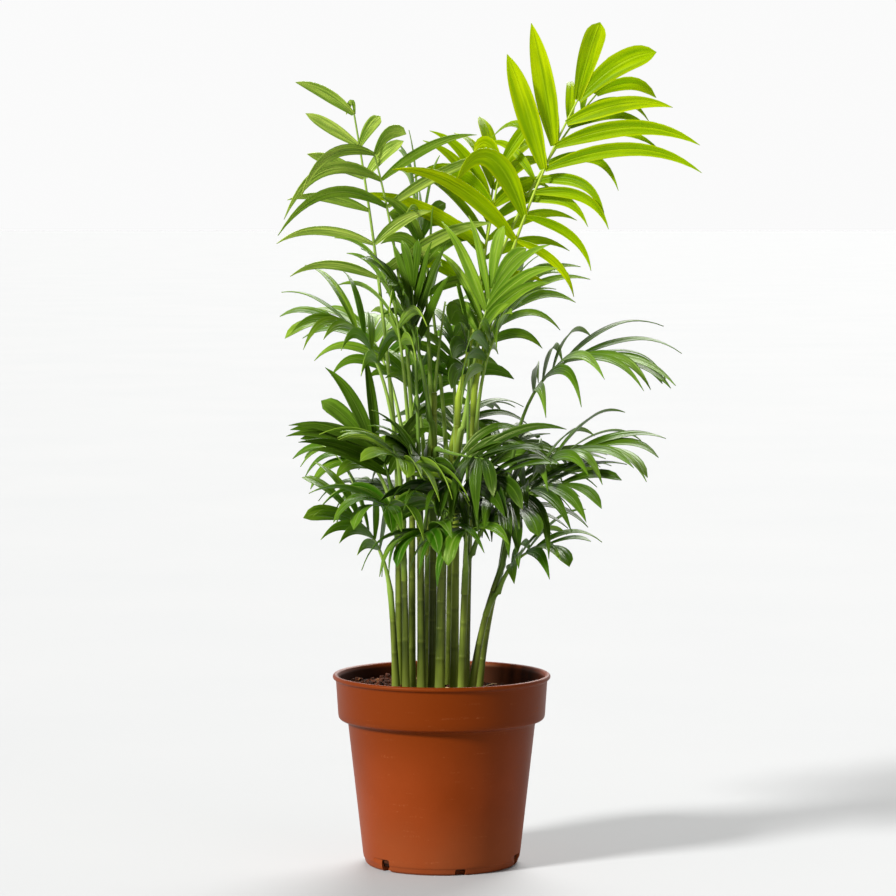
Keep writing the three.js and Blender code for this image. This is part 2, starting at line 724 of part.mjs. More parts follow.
for (const [i, frond] of fronds.entries()) {
  const rachis = placed[i];
  if (!rachis) {
    continue;
  }
  const others = neighbours.filter((other) => other.owner !== frond);
  const grown = [];
  for (const leaf of leafletPlan(frond, i)) {
    const root = leafletRoot(frond, rachis.curve, leaf);
    const blade = bladeAt(rachis.curve, pairSpans(frond, rachis.curve)[leaf.pair][0], frond.roll);
    for (const shift of LEAF_SHIFTS) {
      const solid = buildLeaflet(leaf, root, leafletCurve(leaf, root, blade, shift));
      if (isClear(solid, others)) {
        grown.push(solid);
        break;
      }
    }
  }
  for (const solid of grown) {
    neighbours.push({ solid, box: boxOf(solid), owner: frond });
  }
  const whole = wasm.Manifold.union([rachis.solid, ...grown]).simplify(FINEST);
  const name = `frond_${String(i + 1).padStart(2, '0')}`;
  palm.add(toMesh(whole, name, COLOURS[frond.tone], 0.45));
}

export default palm;
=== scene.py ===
"""Parlour palm in a round plastic nursery pot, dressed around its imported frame.

Every length in the tables is in millimetres, and every mesh is in metres.
"""

import logging
import math
from dataclasses import dataclass
from enum import Enum
from typing import Callable, Optional, Union

import bmesh
import bpy
from mathutils import Matrix, Quaternion, Vector, noise
from mathutils.kdtree import KDTree


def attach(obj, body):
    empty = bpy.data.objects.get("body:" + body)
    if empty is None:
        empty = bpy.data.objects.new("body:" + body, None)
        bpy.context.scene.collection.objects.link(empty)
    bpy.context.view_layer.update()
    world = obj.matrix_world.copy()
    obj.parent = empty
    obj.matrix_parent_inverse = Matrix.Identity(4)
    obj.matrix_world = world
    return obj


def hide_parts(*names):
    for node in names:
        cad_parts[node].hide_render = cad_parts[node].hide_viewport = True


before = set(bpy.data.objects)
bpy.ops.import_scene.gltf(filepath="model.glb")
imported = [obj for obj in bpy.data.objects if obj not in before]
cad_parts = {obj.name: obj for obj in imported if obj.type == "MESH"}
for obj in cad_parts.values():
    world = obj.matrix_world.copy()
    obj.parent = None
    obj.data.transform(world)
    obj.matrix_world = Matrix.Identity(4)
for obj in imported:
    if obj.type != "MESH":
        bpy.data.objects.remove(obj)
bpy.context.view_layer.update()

LOG = logging.getLogger("palm")
MM = 0.001
UP = Vector((0.0, 0.0, 1.0))
BODY = "root"
Colour = tuple[float, float, float]
Stop = tuple[Vector, Vector, float]


def colour(code: str) -> Colour:
    """Linear colour of a six-figure sRGB code, by the two parts of the sRGB curve."""
    parts = [int(code[i : i + 2], 16) / 255 for i in (0, 2, 4)]
    return tuple(p / 12.92 if p <= 0.04045 else ((p + 0.055) / 1.055) ** 2.4 for p in parts)


def lerp(low: float, high: float, share: float) -> float:
    """Value at a share of the way from low to high."""
    return low + (high - low) * share


def clamp(value: float, low: float, high: float) -> float:
    """Value held between two limits."""
    return max(low, min(high, value))


def square_to(vector: Vector, axis: Vector) -> Vector:
    """Unit vector along the part of a vector that is square to an axis."""
    return (vector - axis * vector.dot(axis)).normalized()


class Dice:
    """A small multiplicative generator, so that the same seed grows the same frond."""

    PRIME = 2147483647
    FACTOR = 48271
    STRIDE = 7919
    OFFSET = 17
    DROPPED = 3

    def __init__(self, seed: int) -> None:
        """Start from a seed and drop the first casts."""
        self.state = (seed * self.STRIDE + self.OFFSET) % self.PRIME
        for _ in range(self.DROPPED):
            self.cast(0, 1)

    def cast(self, low: float, high: float) -> float:
        """Next number between low and high."""
        self.state = (self.state * self.FACTOR) % self.PRIME
        return low + (high - low) * self.state / self.PRIME


@dataclass
class Arc:
    """A curve with one turning point."""

    start: Vector
    turn: Vector
    end: Vector

    DIVISIONS = 200

    def point(self, share: float) -> Vector:
        """Point at a share of the curve."""
        first = self.start.lerp(self.turn, share)
        return first.lerp(self.turn.lerp(self.end, share), share)

    def tangent(self, share: float) -> Vector:
        """Unit direction at a share of the curve."""
        return (self.turn - self.start).lerp(self.end - self.turn, share).normalized()

    def length(self) -> float:
        """Length of the curve."""
        points = [self.point(i / self.DIVISIONS) for i in range(self.DIVISIONS + 1)]
        return sum((b - a).length for a, b in zip(points, points[1:]))


# ---------------------------------------------------------------- plan of the plant


class Tone(Enum):
    """Age of a frond, by the record's slot for it."""

    NEW = "new_leaf"
    MID = "green_leaf"
    OLD = "dark_leaf"


class Grain(Enum):
    """How finely a leaflet is divided: columns and rows."""

    FINE = (6, 14)
    PLAIN = (4, 9)


@dataclass(frozen=True)
class CanePlan:
    """A cane: its foot and top, and its radius at the foot."""

    foot: tuple[float, float]
    top: tuple[float, float, float]
    radius: float


@dataclass(frozen=True)
class FrondPlan:
    """A frond: where it leaves its cane, where it reaches, and its leaflets."""

    stem: int
    tip: tuple[float, float, float]
    lean: float
    rise: float
    bare: float
    width: float
    tone: Tone
    at: float = 1.0
    pairs: int = 6
    leaf: float = 44.0
    roll: float = 0.0
    angle: float = 60.0
    close: float = 25.0
    bend: float = 60.0
    lift: float = 15.0
    left: Optional[tuple] = None
    right: Optional[tuple] = None
    # Change of the leaflets' shade for each frond: partly its own tone, and partly painted light,
    # paler where it shows sheen and light shining through.
    pale: float = 0.0
    pale_right: Optional[float] = None

    def shade(self, hand: int) -> float:
        """Change of shade of the leaflets on one side, partly own tone and partly painted light;
        both share one unless told otherwise.
        """
        return self.pale if hand < 0 or self.pale_right is None else self.pale_right


CANES = (
    CanePlan((-25, -5), (-28, -6, 150), 2.2),
    CanePlan((-23.5, 3), (-24, 4, 214), 2.3),
    CanePlan((-19.5, -8), (-21, -10, 189), 2.1),
    CanePlan((-16.5, 6), (-16, 9, 234), 2.3),
    CanePlan((-11, -7), (-12, -9, 204), 2.5),
    CanePlan((-8, 10), (-7, 14, 224), 2.2),
    CanePlan((-5, -1), (-4, 0, 260), 2.5),
    CanePlan((-1, -10), (0, -13, 185), 2.7),
    CanePlan((4, 12), (6, 17, 229), 2.2),
    CanePlan((7, -3), (9, -4, 256), 2.5),
    CanePlan((11, -11), (14, -15, 181), 2.4),
    CanePlan((13, 6), (18, 8, 260), 2.5),
    CanePlan((16, -6), (33, -9, 165), 2.2),
    CanePlan((20, 3.5), (35, 7, 171), 2.2),
    CanePlan((0, 20), (2, 27, 199), 2.2),
)

FRONDS = (
    FrondPlan(
        11, (75, 4, 421), 0.3, 0.53, 0.5, 12, Tone.NEW, pairs=7, roll=90, lift=10,
        left=(
            (56, 88, 54, 0.8), (42, 92, 130, 1, 0.6), None, (38, 66, 8, 1.05), (34, 68, 4), None,
            (14, 44, 6),
        ),
        right=(
            (88, 50, 62, 0.42), (80, 54, 66, 0.45), (62, 56, 74, 0.5), (46, 94, 50, 0.68),
            (44, 86, 48, 0.78), (38, 62, 40, 0.78), (16, 52, 34, 1.05),
        ),
        pale=0.4, pale_right=0.1,
    ),
    FrondPlan(
        9, (86, 30, 424), 0.25, 0.6, 0.6, 6, Tone.NEW, pairs=7, leaf=54, roll=45, angle=62,
        close=22, bend=80, pale=-0.15,
    ),
    FrondPlan(
        8, (33, 18, 386), 0.45, 0.5, 0.55, 8.5, Tone.NEW, pairs=4, roll=80, lift=10,
        left=((60, 62, 60, 0.9), (60, 82, 40), (46, 62, 84, 0.9), (30, 36, 130, 0.9, 0.6)),
        right=((50, 40, 50, 0.8), None, (40, 45, 40, 0.8), (18, 36, 20, 0.8)),
        pale=0.2,
    ),
    FrondPlan(
        1, (-48, 6, 413), 0.35, 0.55, 0.52, 7, Tone.MID, roll=-80,
        left=(
            (56, 56, 60, 0.8), (58, 60, 56, 0.8), (58, 50, 40, 0.8), (54, 35, 14), (48, 34, 4),
            (40, 38, 30),
        ),
        right=(
            (50, 34, 50, 0.9), (50, 38, 40, 0.9), None, (42, 30, 30), (36, 20, 20),
            (6, 26, 160, 1, 0.5),
        ),
        pale=0.85, pale_right=0.55,
    ),
    FrondPlan(
        3, (-37, 2, 391), 0.18, 0.6, 0.56, 7, Tone.MID, pairs=5, roll=-80, lift=12,
        left=(
            (60, 96, 88, 1, 0.5), (46, 102, 64, 1, 0.5), (50, 92, 78, 0.9, 0.5),
            (50, 88, 88, 1, 0.5), (62, 68, 74, 0.9, 0.5),
        ),
        right=((60, 60, 34), None, (62, 72, 36, 0.9), (60, 64, 44, 0.8), (36, 32, 100, 1.1, 0.6)),
        pale=0.3, pale_right=0.45,
    ),
    FrondPlan(
        4, (-16, -8, 318), 0.3, 0.55, 0.6, 5.5, Tone.OLD, pairs=5, leaf=42, roll=70, angle=30,
        close=8, bend=12,
    ),
    FrondPlan(
        10, (15, -20, 298), 0.2, 0.5, 0.78, 11, Tone.OLD, pairs=3, roll=80,
        left=((72, 34, 60, 0.8), (52, 34, 40, 0.9), (34, 28, 12, 1.2)),
        right=((72, 36, 70, 0.8), (62, 38, 70, 0.9), (48, 42, 76, 1.1)),
    ),
    FrondPlan(
        5, (2, -12, 310), 0.5, 0.5, 0.62, 9, Tone.MID, pairs=4, leaf=54, roll=65, angle=62,
        close=30, bend=25,
    ),
    FrondPlan(
        2, (-56, -18, 299), 0.15, 0.95, 0.58, 6.5, Tone.MID, leaf=52, roll=-30, angle=58, bend=66,
        pale=-0.05,
    ),
    FrondPlan(
        11, (31, -14, 294), 0.2, 0.75, 0.56, 6, Tone.MID, at=0.8, leaf=56, roll=40, angle=66,
        bend=66, pale=-0.05,
    ),
    FrondPlan(
        13, (90, -4, 280), 0, 1.06, 0.54, 6.5, Tone.OLD, pairs=7, leaf=60, roll=20, angle=62,
        close=10, bend=74, pale=0.5,
    ),
    FrondPlan(
        12, (84, -22, 231), 0.15, 1, 0.42, 7, Tone.OLD, pairs=7, leaf=54, roll=15, angle=62,
        close=22, bend=62, pale=0.65, pale_right=0.7,
    ),
    FrondPlan(
        10, (66, -42, 213), 0.2, 0.9, 0.42, 7, Tone.OLD, at=0.9, leaf=52, roll=25, angle=62,
        pale=0.1,
    ),
    FrondPlan(13, (58, 56, 222), 0.2, 0.9, 0.42, 7, Tone.OLD, at=0.85, leaf=46, roll=10, pale=0.4),
    FrondPlan(
        0, (-49, -16, 193), 0.2, 0.75, 0.45, 7, Tone.MID, pairs=5, leaf=50, roll=-45, angle=55,
        close=22, bend=34, pale=0.15,
    ),
    FrondPlan(
        4, (-22, -44, 226), 0.25, 0.9, 0.5, 7, Tone.MID, at=0.9, pairs=6, leaf=52, roll=-30,
        angle=62, bend=56, pale=0.25, pale_right=0.45,
    ),
    FrondPlan(
        2, (-42, -10, 235), 0.2, 0.9, 0.45, 7, Tone.OLD, at=0.9, leaf=50, roll=-65, angle=50,
        close=20, bend=22, pale=0.4, pale_right=0.35,
    ),
    FrondPlan(
        6, (24, -38, 226), 0.3, 0.8, 0.6, 7, Tone.OLD, at=0.8, pairs=5, leaf=50, roll=40, angle=66,
        close=30, pale=-0.12,
    ),
    FrondPlan(
        12, (56, -24, 177), 0.3, 0.9, 0.42, 7, Tone.MID, at=0.8, pairs=5, leaf=42, roll=20,
        close=30, pale=-0.15,
    ),
    FrondPlan(
        7, (-8, -48, 187), 0.3, 1, 0.42, 8, Tone.MID, at=0.9, leaf=48, roll=20, angle=64, bend=95,
        pale=-0.28,
    ),
    FrondPlan(
        10, (14, -56, 189), 0.3, 1, 0.55, 8.5, Tone.MID, at=0.8, pairs=5, leaf=50, roll=10,
        angle=64, bend=90, pale=-0.25,
    ),
    FrondPlan(
        7, (30, -40, 216), 0.2, 0.8, 0.4, 7.5, Tone.OLD, leaf=52, roll=40, angle=62, pale=-0.12,
    ),
    FrondPlan(
        9, (44, -46, 200), 0.3, 0.8, 0.55, 7.5, Tone.OLD, at=0.68, pairs=5, leaf=50, roll=20,
        bend=48, pale=-0.1,
    ),
    FrondPlan(14, (12, 78, 247), 0.2, 0.85, 0.5, 7, Tone.OLD, leaf=44),
    FrondPlan(8, (42, 72, 316), 0.25, 0.7, 0.6, 7.5, Tone.MID, at=0.85, leaf=50, pale=-0.2),
    FrondPlan(3, (-44, 62, 294), 0.25, 0.75, 0.6, 7, Tone.MID, at=0.8, leaf=48, pale=-0.2),
    FrondPlan(5, (-22, 84, 225), 0.25, 0.9, 0.5, 7, Tone.OLD, at=0.8, leaf=42),
    FrondPlan(14, (-42, 64, 205), 0.25, 0.9, 0.5, 7, Tone.OLD, at=0.85, leaf=40),
    FrondPlan(8, (50, 66, 205), 0.25, 0.9, 0.5, 7, Tone.OLD, at=0.7, leaf=40, pale=0.4),
    FrondPlan(1, (-54, 26, 227), 0.2, 0.9, 0.5, 7, Tone.MID, at=0.8, leaf=40, roll=-10),
    FrondPlan(
        8, (-16, 34, 369), 0.25, 0.55, 0.6, 6.5, Tone.MID, at=0.95, leaf=54, roll=50, angle=48,
        close=18, bend=50, pale=-0.1,
    ),
    FrondPlan(
        11, (30, 62, 381), 0.3, 0.6, 0.6, 7, Tone.NEW, at=0.9, leaf=56, roll=40, angle=50,
        close=22, pale=-0.15, pale_right=-0.25,
    ),
    FrondPlan(
        6, (-26, -22, 314), 0.3, 0.7, 0.58, 6.5, Tone.OLD, at=0.9, pairs=5, leaf=44, roll=-40,
        angle=52, close=22, bend=50,
    ),
    FrondPlan(
        9, (28, -12, 318), 0.4, 0.6, 0.62, 6.5, Tone.MID, at=0.9, pairs=5, leaf=50, roll=75,
        angle=48, close=16, bend=28, pale=-0.1,
    ),
    FrondPlan(
        3, (-28, -22, 319), 0.3, 0.7, 0.58, 6.5, Tone.MID, at=0.9, pairs=5, leaf=58, roll=-50,
        angle=62,
    ),
    FrondPlan(
        2, (-32, -46, 201), 0.2, 1, 0.42, 8, Tone.MID, at=0.8, leaf=50, roll=-15, angle=62,
        bend=84, pale=-0.25,
    ),
    FrondPlan(
        4, (4, -44, 212), 0.2, 1, 0.42, 7, Tone.OLD, at=0.75, leaf=52, roll=20, angle=62, bend=80,
        pale=-0.1,
    ),
    FrondPlan(
        9, (6, 24, 288), 0.3, 0.7, 0.6, 7, Tone.MID, at=0.75, pairs=5, leaf=40, roll=30, angle=62,
        bend=70, pale=-0.15,
    ),
    FrondPlan(
        6, (-18, -30, 227), 0.2, 0.85, 0.42, 8, Tone.OLD, at=0.6, leaf=40, roll=-45, angle=54,
        close=18, bend=45,
    ),
    FrondPlan(11, (44, 34, 230), 0.2, 0.9, 0.45, 7, Tone.OLD, at=0.6, leaf=42, roll=30, pale=0.4),
    FrondPlan(
        5, (2, -36, 205), 0.2, 0.9, 0.4, 7.5, Tone.OLD, at=0.55, leaf=42, roll=-30, angle=62,
        bend=75,
    ),
    FrondPlan(
        5, (-16, 26, 266), 0.3, 0.75, 0.5, 7, Tone.MID, at=0.95, pairs=5, leaf=40, roll=10,
        pale=-0.15,
    ),
    FrondPlan(
        6, (-6, 16, 346), 0.3, 0.6, 0.6, 7, Tone.MID, at=0.95, pairs=5, leaf=42, roll=15,
        pale=-0.15,
    ),
)

# Shifts that the fronds and leaflets were given where they would have touched.
FROND_TURNS = (0, 6, -6, 12, -12, 19, -19, 27, -27, 36, -36)
FROND_RISES = (0, 0.08, -0.08, 0.16)
LEAF_SHIFTS = (
    (0, 0, 0, 1), (0, 12, 0, 1), (0, -12, 0, 1), (8, 0, 0, 1), (-8, 0, 0, 1), (0, 24, 10, 0.96),
    (0, -24, 10, 0.96), (10, 16, 15, 0.88), (-10, -16, 15, 0.88), (10, -18, -15, 0.84),
    (-12, 20, -20, 0.8), (0, 36, 20, 0.74), (0, -36, -20, 0.74), (14, 0, 30, 0.66),
)

ROOM = 0.36  # between a cane and the root of its frond
MATCH = 0.06  # largest distance between a place on a curve and its corner of the solid
RACHIS_FOOT, RACHIS_TIP = 1.5, 0.7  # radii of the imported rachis
ROOT_SHARE = 0.3  # of a leaflet's width, for the length of its root
ROOT_LIMITS = (1.7, 3.2)
KNEE = 0.58  # share of a leaflet before its bend
STEEPEST = math.radians(-86)

# A leaflet's length along the rachis: a share at both ends, a swell between, and a fall.
LEAST_LENGTH, LENGTH_SWELL, LENGTH_FALL = 0.62, 0.62, 0.36
SWELL_START, SWELL_REACH = 0.15, 0.62
BEND_START, BEND_FALL = 1.15, 0.5
END_WIDTH = 1.2  # of the last pair
ANGLE_CAST, LENGTH_CAST, BEND_CAST = (0.88, 1.12), (0.9, 1.1), (0.6, 1.4)
WIDTH_CAST, LIFT_CAST, TWIST_CAST = (0.85, 1.12), (0.5, 1.5), (-18, 18)

SOIL_LEVEL = 95.0
SOIL_SLOPE = -0.055
# The soil's two waves: height, and radians to the millimetre along X and along Y.
BROAD_WAVE, WAVE_START = (0.9, 0.17, 0.15), 0.9
FINE_WAVE = (0.7, 0.2, 0.31)

SOCKET_DEPTH = 2.0
CANE_TAPER = 0.35
CANE_LEAN, CANE_RISE = 0.25, 0.55  # shares of a cane's way at which it turns
INTERNODES = (15, 23)


def soil_height(x: float, y: float) -> float:
    """Height of the soil, which is banked towards -X and slightly uneven."""
    height, per_x, per_y = BROAD_WAVE
    broad = height * math.sin(per_x * x + WAVE_START) * math.cos(per_y * y)
    height, per_x, per_y = FINE_WAVE
    return SOIL_LEVEL + SOIL_SLOPE * x + broad + height * math.sin(per_y * y + per_x * x)


def cane_arc(plan: CanePlan) -> Arc:
    """Curve of a cane from its socket to its top."""
    foot = Vector((*plan.foot, soil_height(*plan.foot) - SOCKET_DEPTH))
    top = Vector(plan.top)
    turn = foot.lerp(top, CANE_LEAN)
    turn.z = lerp(foot.z, top.z, CANE_RISE)
    return Arc(foot, turn, top)


def cane_radius(plan: CanePlan, share: float) -> float:
    """Radius of a cane at a share of its height, above its flare."""
    return plan.radius * (1 - CANE_TAPER * share)


@dataclass
class Blade:
    """Frame of a frond's blade at one place on its rachis."""

    place: Vector
    along: Vector
    face: Vector
    side: Vector


def blade_at(arc: Arc, share: float, roll: float) -> Blade:
    """Place, direction, upper side and right-hand side of a blade.

    Args:
        arc: Curve of the petiole and rachis.
        share: Share of the curve.
        roll: Turn of the blade about the rachis, in degrees.

    Returns:
        The frame at that share.
    """
    along = arc.tangent(share)
    out = arc.end - arc.start
    out.z = 0.0
    level = square_to(out.normalized().cross(UP), along)
    face = Quaternion(along, math.radians(roll)) @ level.cross(along)
    return Blade(arc.point(share), along, face, along.cross(face))


def rachis_arc(plan: FrondPlan, turn: float, lift: float) -> Arc:
    """Curve of a petiole and rachis.

    Args:
        plan: The frond.
        turn: Turn about the cane, in degrees.
        lift: Change of the arch's rise.

    Returns:
        The curve from the cane to the end of the rachis.
    """
    cane = CANES[plan.stem]
    line = cane_arc(cane)
    foot, along = line.point(plan.at), line.tangent(plan.at)
    tip = Quaternion(UP, math.radians(turn)) @ (Vector(plan.tip) - foot) + foot

    def knee(root: Vector) -> Vector:
        """Turning point of the arch that starts at a root."""
        level = root.lerp(tip, plan.lean)
        return Vector((level.x, level.y, lerp(root.z, tip.z, plan.rise + lift)))

    if plan.at < 1:
        out = square_to(tip - foot, along)
        root = foot + out * (cane_radius(cane, plan.at) + RACHIS_FOOT + ROOM)
    else:
        tilt = (knee(foot) - foot).angle(along)
        root = foot + along * (ROOM + RACHIS_FOOT * math.sin(tilt))
    return Arc(root, knee(root), tip)


@dataclass
class LeafletPlan:
    """Sizes of a leaflet before it is placed."""

    hand: int
    pair: int
    angle: float
    length: float
    bend: float
    width: float
    lift: float
    twist: float
    knee: float = KNEE


@dataclass
class Leaflet:
    """A leaflet in its place: its midline, its width direction and its looks."""

    midline: Arc
    across: Vector
    width: float
    grain: Grain
    curl: float
    hook: float
    full: float
    fold: float
    shade: float
    dry: float


def leaflet_plans(plan: FrondPlan, index: int) -> list[LeafletPlan]:
    """Sizes of every leaflet of a frond, in the order in which they grow."""
    dice = Dice(index + 11)
    plans = []
    for hand, rows in ((-1, plan.left), (1, plan.right)):
        for j in range(plan.pairs):
            share = j / (plan.pairs - 1)
            swell = LENGTH_SWELL * math.sin(math.pi * (SWELL_START + SWELL_REACH * share))
            size = LEAST_LENGTH + swell - LENGTH_FALL * share
            end = END_WIDTH if j == plan.pairs - 1 else 1
            leaf = LeafletPlan(
                hand=hand,
                pair=j,
                angle=lerp(plan.angle, plan.close, share) * dice.cast(*ANGLE_CAST),
                length=plan.leaf * size * dice.cast(*LENGTH_CAST),
                bend=plan.bend * (BEND_START - BEND_FALL * share) * dice.cast(*BEND_CAST),
                width=plan.width * dice.cast(*WIDTH_CAST) * end,
                lift=plan.lift * dice.cast(*LIFT_CAST),
                twist=dice.cast(*TWIST_CAST) * hand,
            )
            if rows and rows[j]:
                leaf.angle, leaf.length, leaf.bend = rows[j][:3]
                leaf.width = plan.width * (rows[j][3] if len(rows[j]) > 3 else 1)
                leaf.knee = rows[j][4] if len(rows[j]) > 4 else KNEE
            if not rows or rows[j]:
                plans.append(leaf)
    return plans


def pair_spans(plan: FrondPlan, arc: Arc) -> list[tuple[float, float]]:
    """Shares of a rachis at which each pair of leaflets starts and ends."""
    half = clamp(plan.width * ROOT_SHARE, *ROOT_LIMITS) / arc.length() / 2
    middles = [lerp(plan.bare, 1 - half, j / (plan.pairs - 1)) for j in range(plan.pairs)]
    return [(m - half, min(1.0, m + half)) for m in middles]


def rachis_corners(arc: Arc, share: float, roll: float) -> list[Vector]:
    """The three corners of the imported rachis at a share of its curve."""
    blade = blade_at(arc, share, roll)
    radius = lerp(RACHIS_FOOT, RACHIS_TIP, share)
    turns = [2 * math.pi * i / 3 for i in range(3)]
    return [
        blade.place + (blade.face * math.cos(t) + blade.side * math.sin(t)) * radius for t in turns
    ]


def leaflet_midline(
    leaf: LeafletPlan, root: Vector, blade: Blade, shift: tuple
) -> tuple[Arc, Vector]:
    """Midline of a leaflet and its width direction at the root.

    Args:
        leaf: Sizes of the leaflet.
        root: Where it leaves the rachis.
        blade: Frame of the blade there.
        shift: Swing, lift, bend and share of the length it was given.

    Returns:
        The midline and a unit vector across the root.
    """
    swing, lift, bend, scale = shift
    angle, rise = math.radians(leaf.angle + swing), math.radians(leaf.lift + lift)
    length = leaf.length * scale
    aside = blade.side * leaf.hand * math.cos(rise) + blade.face * math.sin(rise)
    start = (blade.along * math.cos(angle) + aside * math.sin(angle)).normalized()
    flat = math.hypot(start.x, start.y)
    slope = max(math.atan2(start.z, flat) - math.radians(leaf.bend + bend), STEEPEST)
    end = Vector((start.x / flat, start.y / flat, 0.0)) * math.cos(slope) + UP * math.sin(slope)
    knee = root + start * length * leaf.knee
    across = Quaternion(start, math.radians(leaf.twist)) @ blade.face.cross(start).normalized()
    return Arc(root, knee, knee + end * length * (1 - leaf.knee)), across


# ---------------------------------------------------------------- shader maths


def math_method(operation: str, turned: bool = False) -> Callable[..., "Value"]:
    """Method of Value that adds one Math node.

    Args:
        operation: The node's operation.
        turned: Whether the other number comes first.

    Returns:
        The method, which takes a second number where the operation needs one.
    """

    def method(self: "Value", other: "Number" = 0.0) -> "Value":
        """Add the node."""
        first, second = (other, self) if turned else (self, other)
        sockets = {0: first, 1: second}
        node = self.shader.node("ShaderNodeMath", {"operation": operation}, sockets)
        return Value(self.shader, node.outputs[0])

    return method


class Value:
    """A number inside a material, which takes Python's own operators."""

    def __init__(self, shader: "Shader", socket: bpy.types.NodeSocket) -> None:
        """Wrap an output socket of a shader."""
        self.shader = shader
        self.socket = socket

    __add__ = __radd__ = math_method("ADD")
    __sub__ = math_method("SUBTRACT")
    __rsub__ = math_method("SUBTRACT", turned=True)
    __mul__ = math_method("MULTIPLY")
    __abs__ = math_method("ABSOLUTE")
    fraction = math_method("FRACT")
    sine = math_method("SINE")

    def step(self, low: float, high: float) -> "Value":
        """Smooth rise from 0 at low to 1 at high."""
        node = self.shader.node(
            "ShaderNodeMapRange",
            {"interpolation_type": "SMOOTHSTEP"},
            {"Value": self, "From Min": low, "From Max": high},
        )
        return Value(self.shader, node.outputs[0])


Number = Union[Value, float]


class Shader:
    """A material under construction."""

    def __init__(self, name: str) -> None:
        """Start an empty node tree."""
        self.material = bpy.data.materials.new(name)
        self.material.use_nodes = True
        self.tree = self.material.node_tree
        self.tree.nodes.clear()

    def node(self, kind: str, settings: dict, sockets: dict) -> bpy.types.Node:
        """Add a node.

        Args:
            kind: Type of the node.
            settings: Its properties, set first; "stops" are a ramp's (place, colour) pairs.
            sockets: Values or links of its inputs, by name or number.

        Returns:
            The new node.
        """
        node = self.tree.nodes.new(kind)
        for key, value in settings.items():
            if key == "stops":
                ramp = node.color_ramp
                while len(ramp.elements) < len(value):
                    ramp.elements.new(0.5)
                for element, (place, shade) in zip(ramp.elements, value):
                    element.position = place
                    element.color = (*shade, 1.0)
            else:
                setattr(node, key, value)
        for key, value in sockets.items():
            if isinstance(value, Value):
                value = value.socket
            if isinstance(value, bpy.types.NodeSocket):
                self.tree.links.new(value, node.inputs[key])
            elif isinstance(value, tuple) and len(value) == 3 and node.inputs[key].type == "RGBA":
                node.inputs[key].default_value = (*value, 1.0)
            else:
                node.inputs[key].default_value = value
        return node

    def place(self) -> bpy.types.NodeSocket:
        """Object coordinates, in metres."""
        return self.node("ShaderNodeTexCoord", {}, {}).outputs["Object"]

    def axis(self, vector: bpy.types.NodeSocket, index: int) -> Value:
        """One part of a vector."""
        return Value(self, self.node("ShaderNodeSeparateXYZ", {}, {0: vector}).outputs[index])

    def radius(self) -> Value:
        """Distance from the upright axis, in metres."""
        flat = self.node("ShaderNodeMapping", {}, {"Vector": self.place(), "Scale": (1, 1, 0)})
        length = self.node("ShaderNodeVectorMath", {"operation": "LENGTH"}, {0: flat.outputs[0]})
        return Value(self, length.outputs["Value"])

    def noise(
        self, scale: float, detail: float = 3.0, stretch: tuple = (1.0, 1.0, 1.0)
    ) -> Value:
        """Noise on object coordinates, from 0 to 1.

        Args:
            scale: Lumps to the metre.
            detail: Octaves.
            stretch: Scale of each axis before the noise.

        Returns:
            The noise's value.
        """
        lined = self.node("ShaderNodeMapping", {}, {"Vector": self.place(), "Scale": stretch})
        sockets = {"Vector": lined.outputs[0], "Scale": scale, "Detail": detail}
        return Value(self, self.node("ShaderNodeTexNoise", {}, sockets).outputs[0])

    def streaks(self, across: Value, along: Value, seed: Value) -> Value:
        """Long streaks that follow a leaf, from 0 to 1.

        Args:
            across: Place across the leaf, in streaks.
            along: Place along the leaf, in streaks.
            seed: A number that is each leaf's own.

        Returns:
            The streaks' strength.
        """
        spot = self.node("ShaderNodeCombineXYZ", {}, {0: across, 1: along, 2: seed}).outputs[0]
        sockets = {"Vector": spot, "Scale": 1.0, "Detail": 2.0}
        lined = Value(self, self.node("ShaderNodeTexNoise", {}, sockets).outputs[0])
        return lined.step(0.36, 0.64)

    def mark(self, name: str) -> Value:
        """A number stored on the mesh."""
        node = self.node("ShaderNodeAttribute", {"attribute_name": name}, {})
        return Value(self, node.outputs["Fac"])

    def blend(self, share: Number, first: object, second: object) -> bpy.types.NodeSocket:
        """Colour between two colours at a share."""
        sockets = {0: share, 6: first, 7: second}
        return self.node("ShaderNodeMix", {"data_type": "RGBA"}, sockets).outputs[2]

    def bump(self, height: Value, depth: float, strength: float = 1.0) -> bpy.types.NodeSocket:
        """Normal of a relief of a given depth in metres."""
        sockets = {"Height": height, "Distance": depth, "Strength": strength}
        return self.node("ShaderNodeBump", {}, sockets).outputs[0]

    def finish(self, sockets: dict, through: Optional[tuple] = None) -> bpy.types.Material:
        """Close the material.

        Args:
            sockets: Inputs of the principled shader.
            through: Colour and share of light let through, for thin leaves.

        Returns:
            The finished material.
        """
        surface = self.node("ShaderNodeBsdfPrincipled", {}, sockets).outputs[0]
        if through:
            glow = self.node("ShaderNodeBsdfTranslucent", {}, {"Color": through[0]})
            mixed = {0: through[1], 1: surface, 2: glow.outputs[0]}
            surface = self.node("ShaderNodeMixShader", {}, mixed).outputs[0]
        self.node("ShaderNodeOutputMaterial", {}, {"Surface": surface})
        return self.material


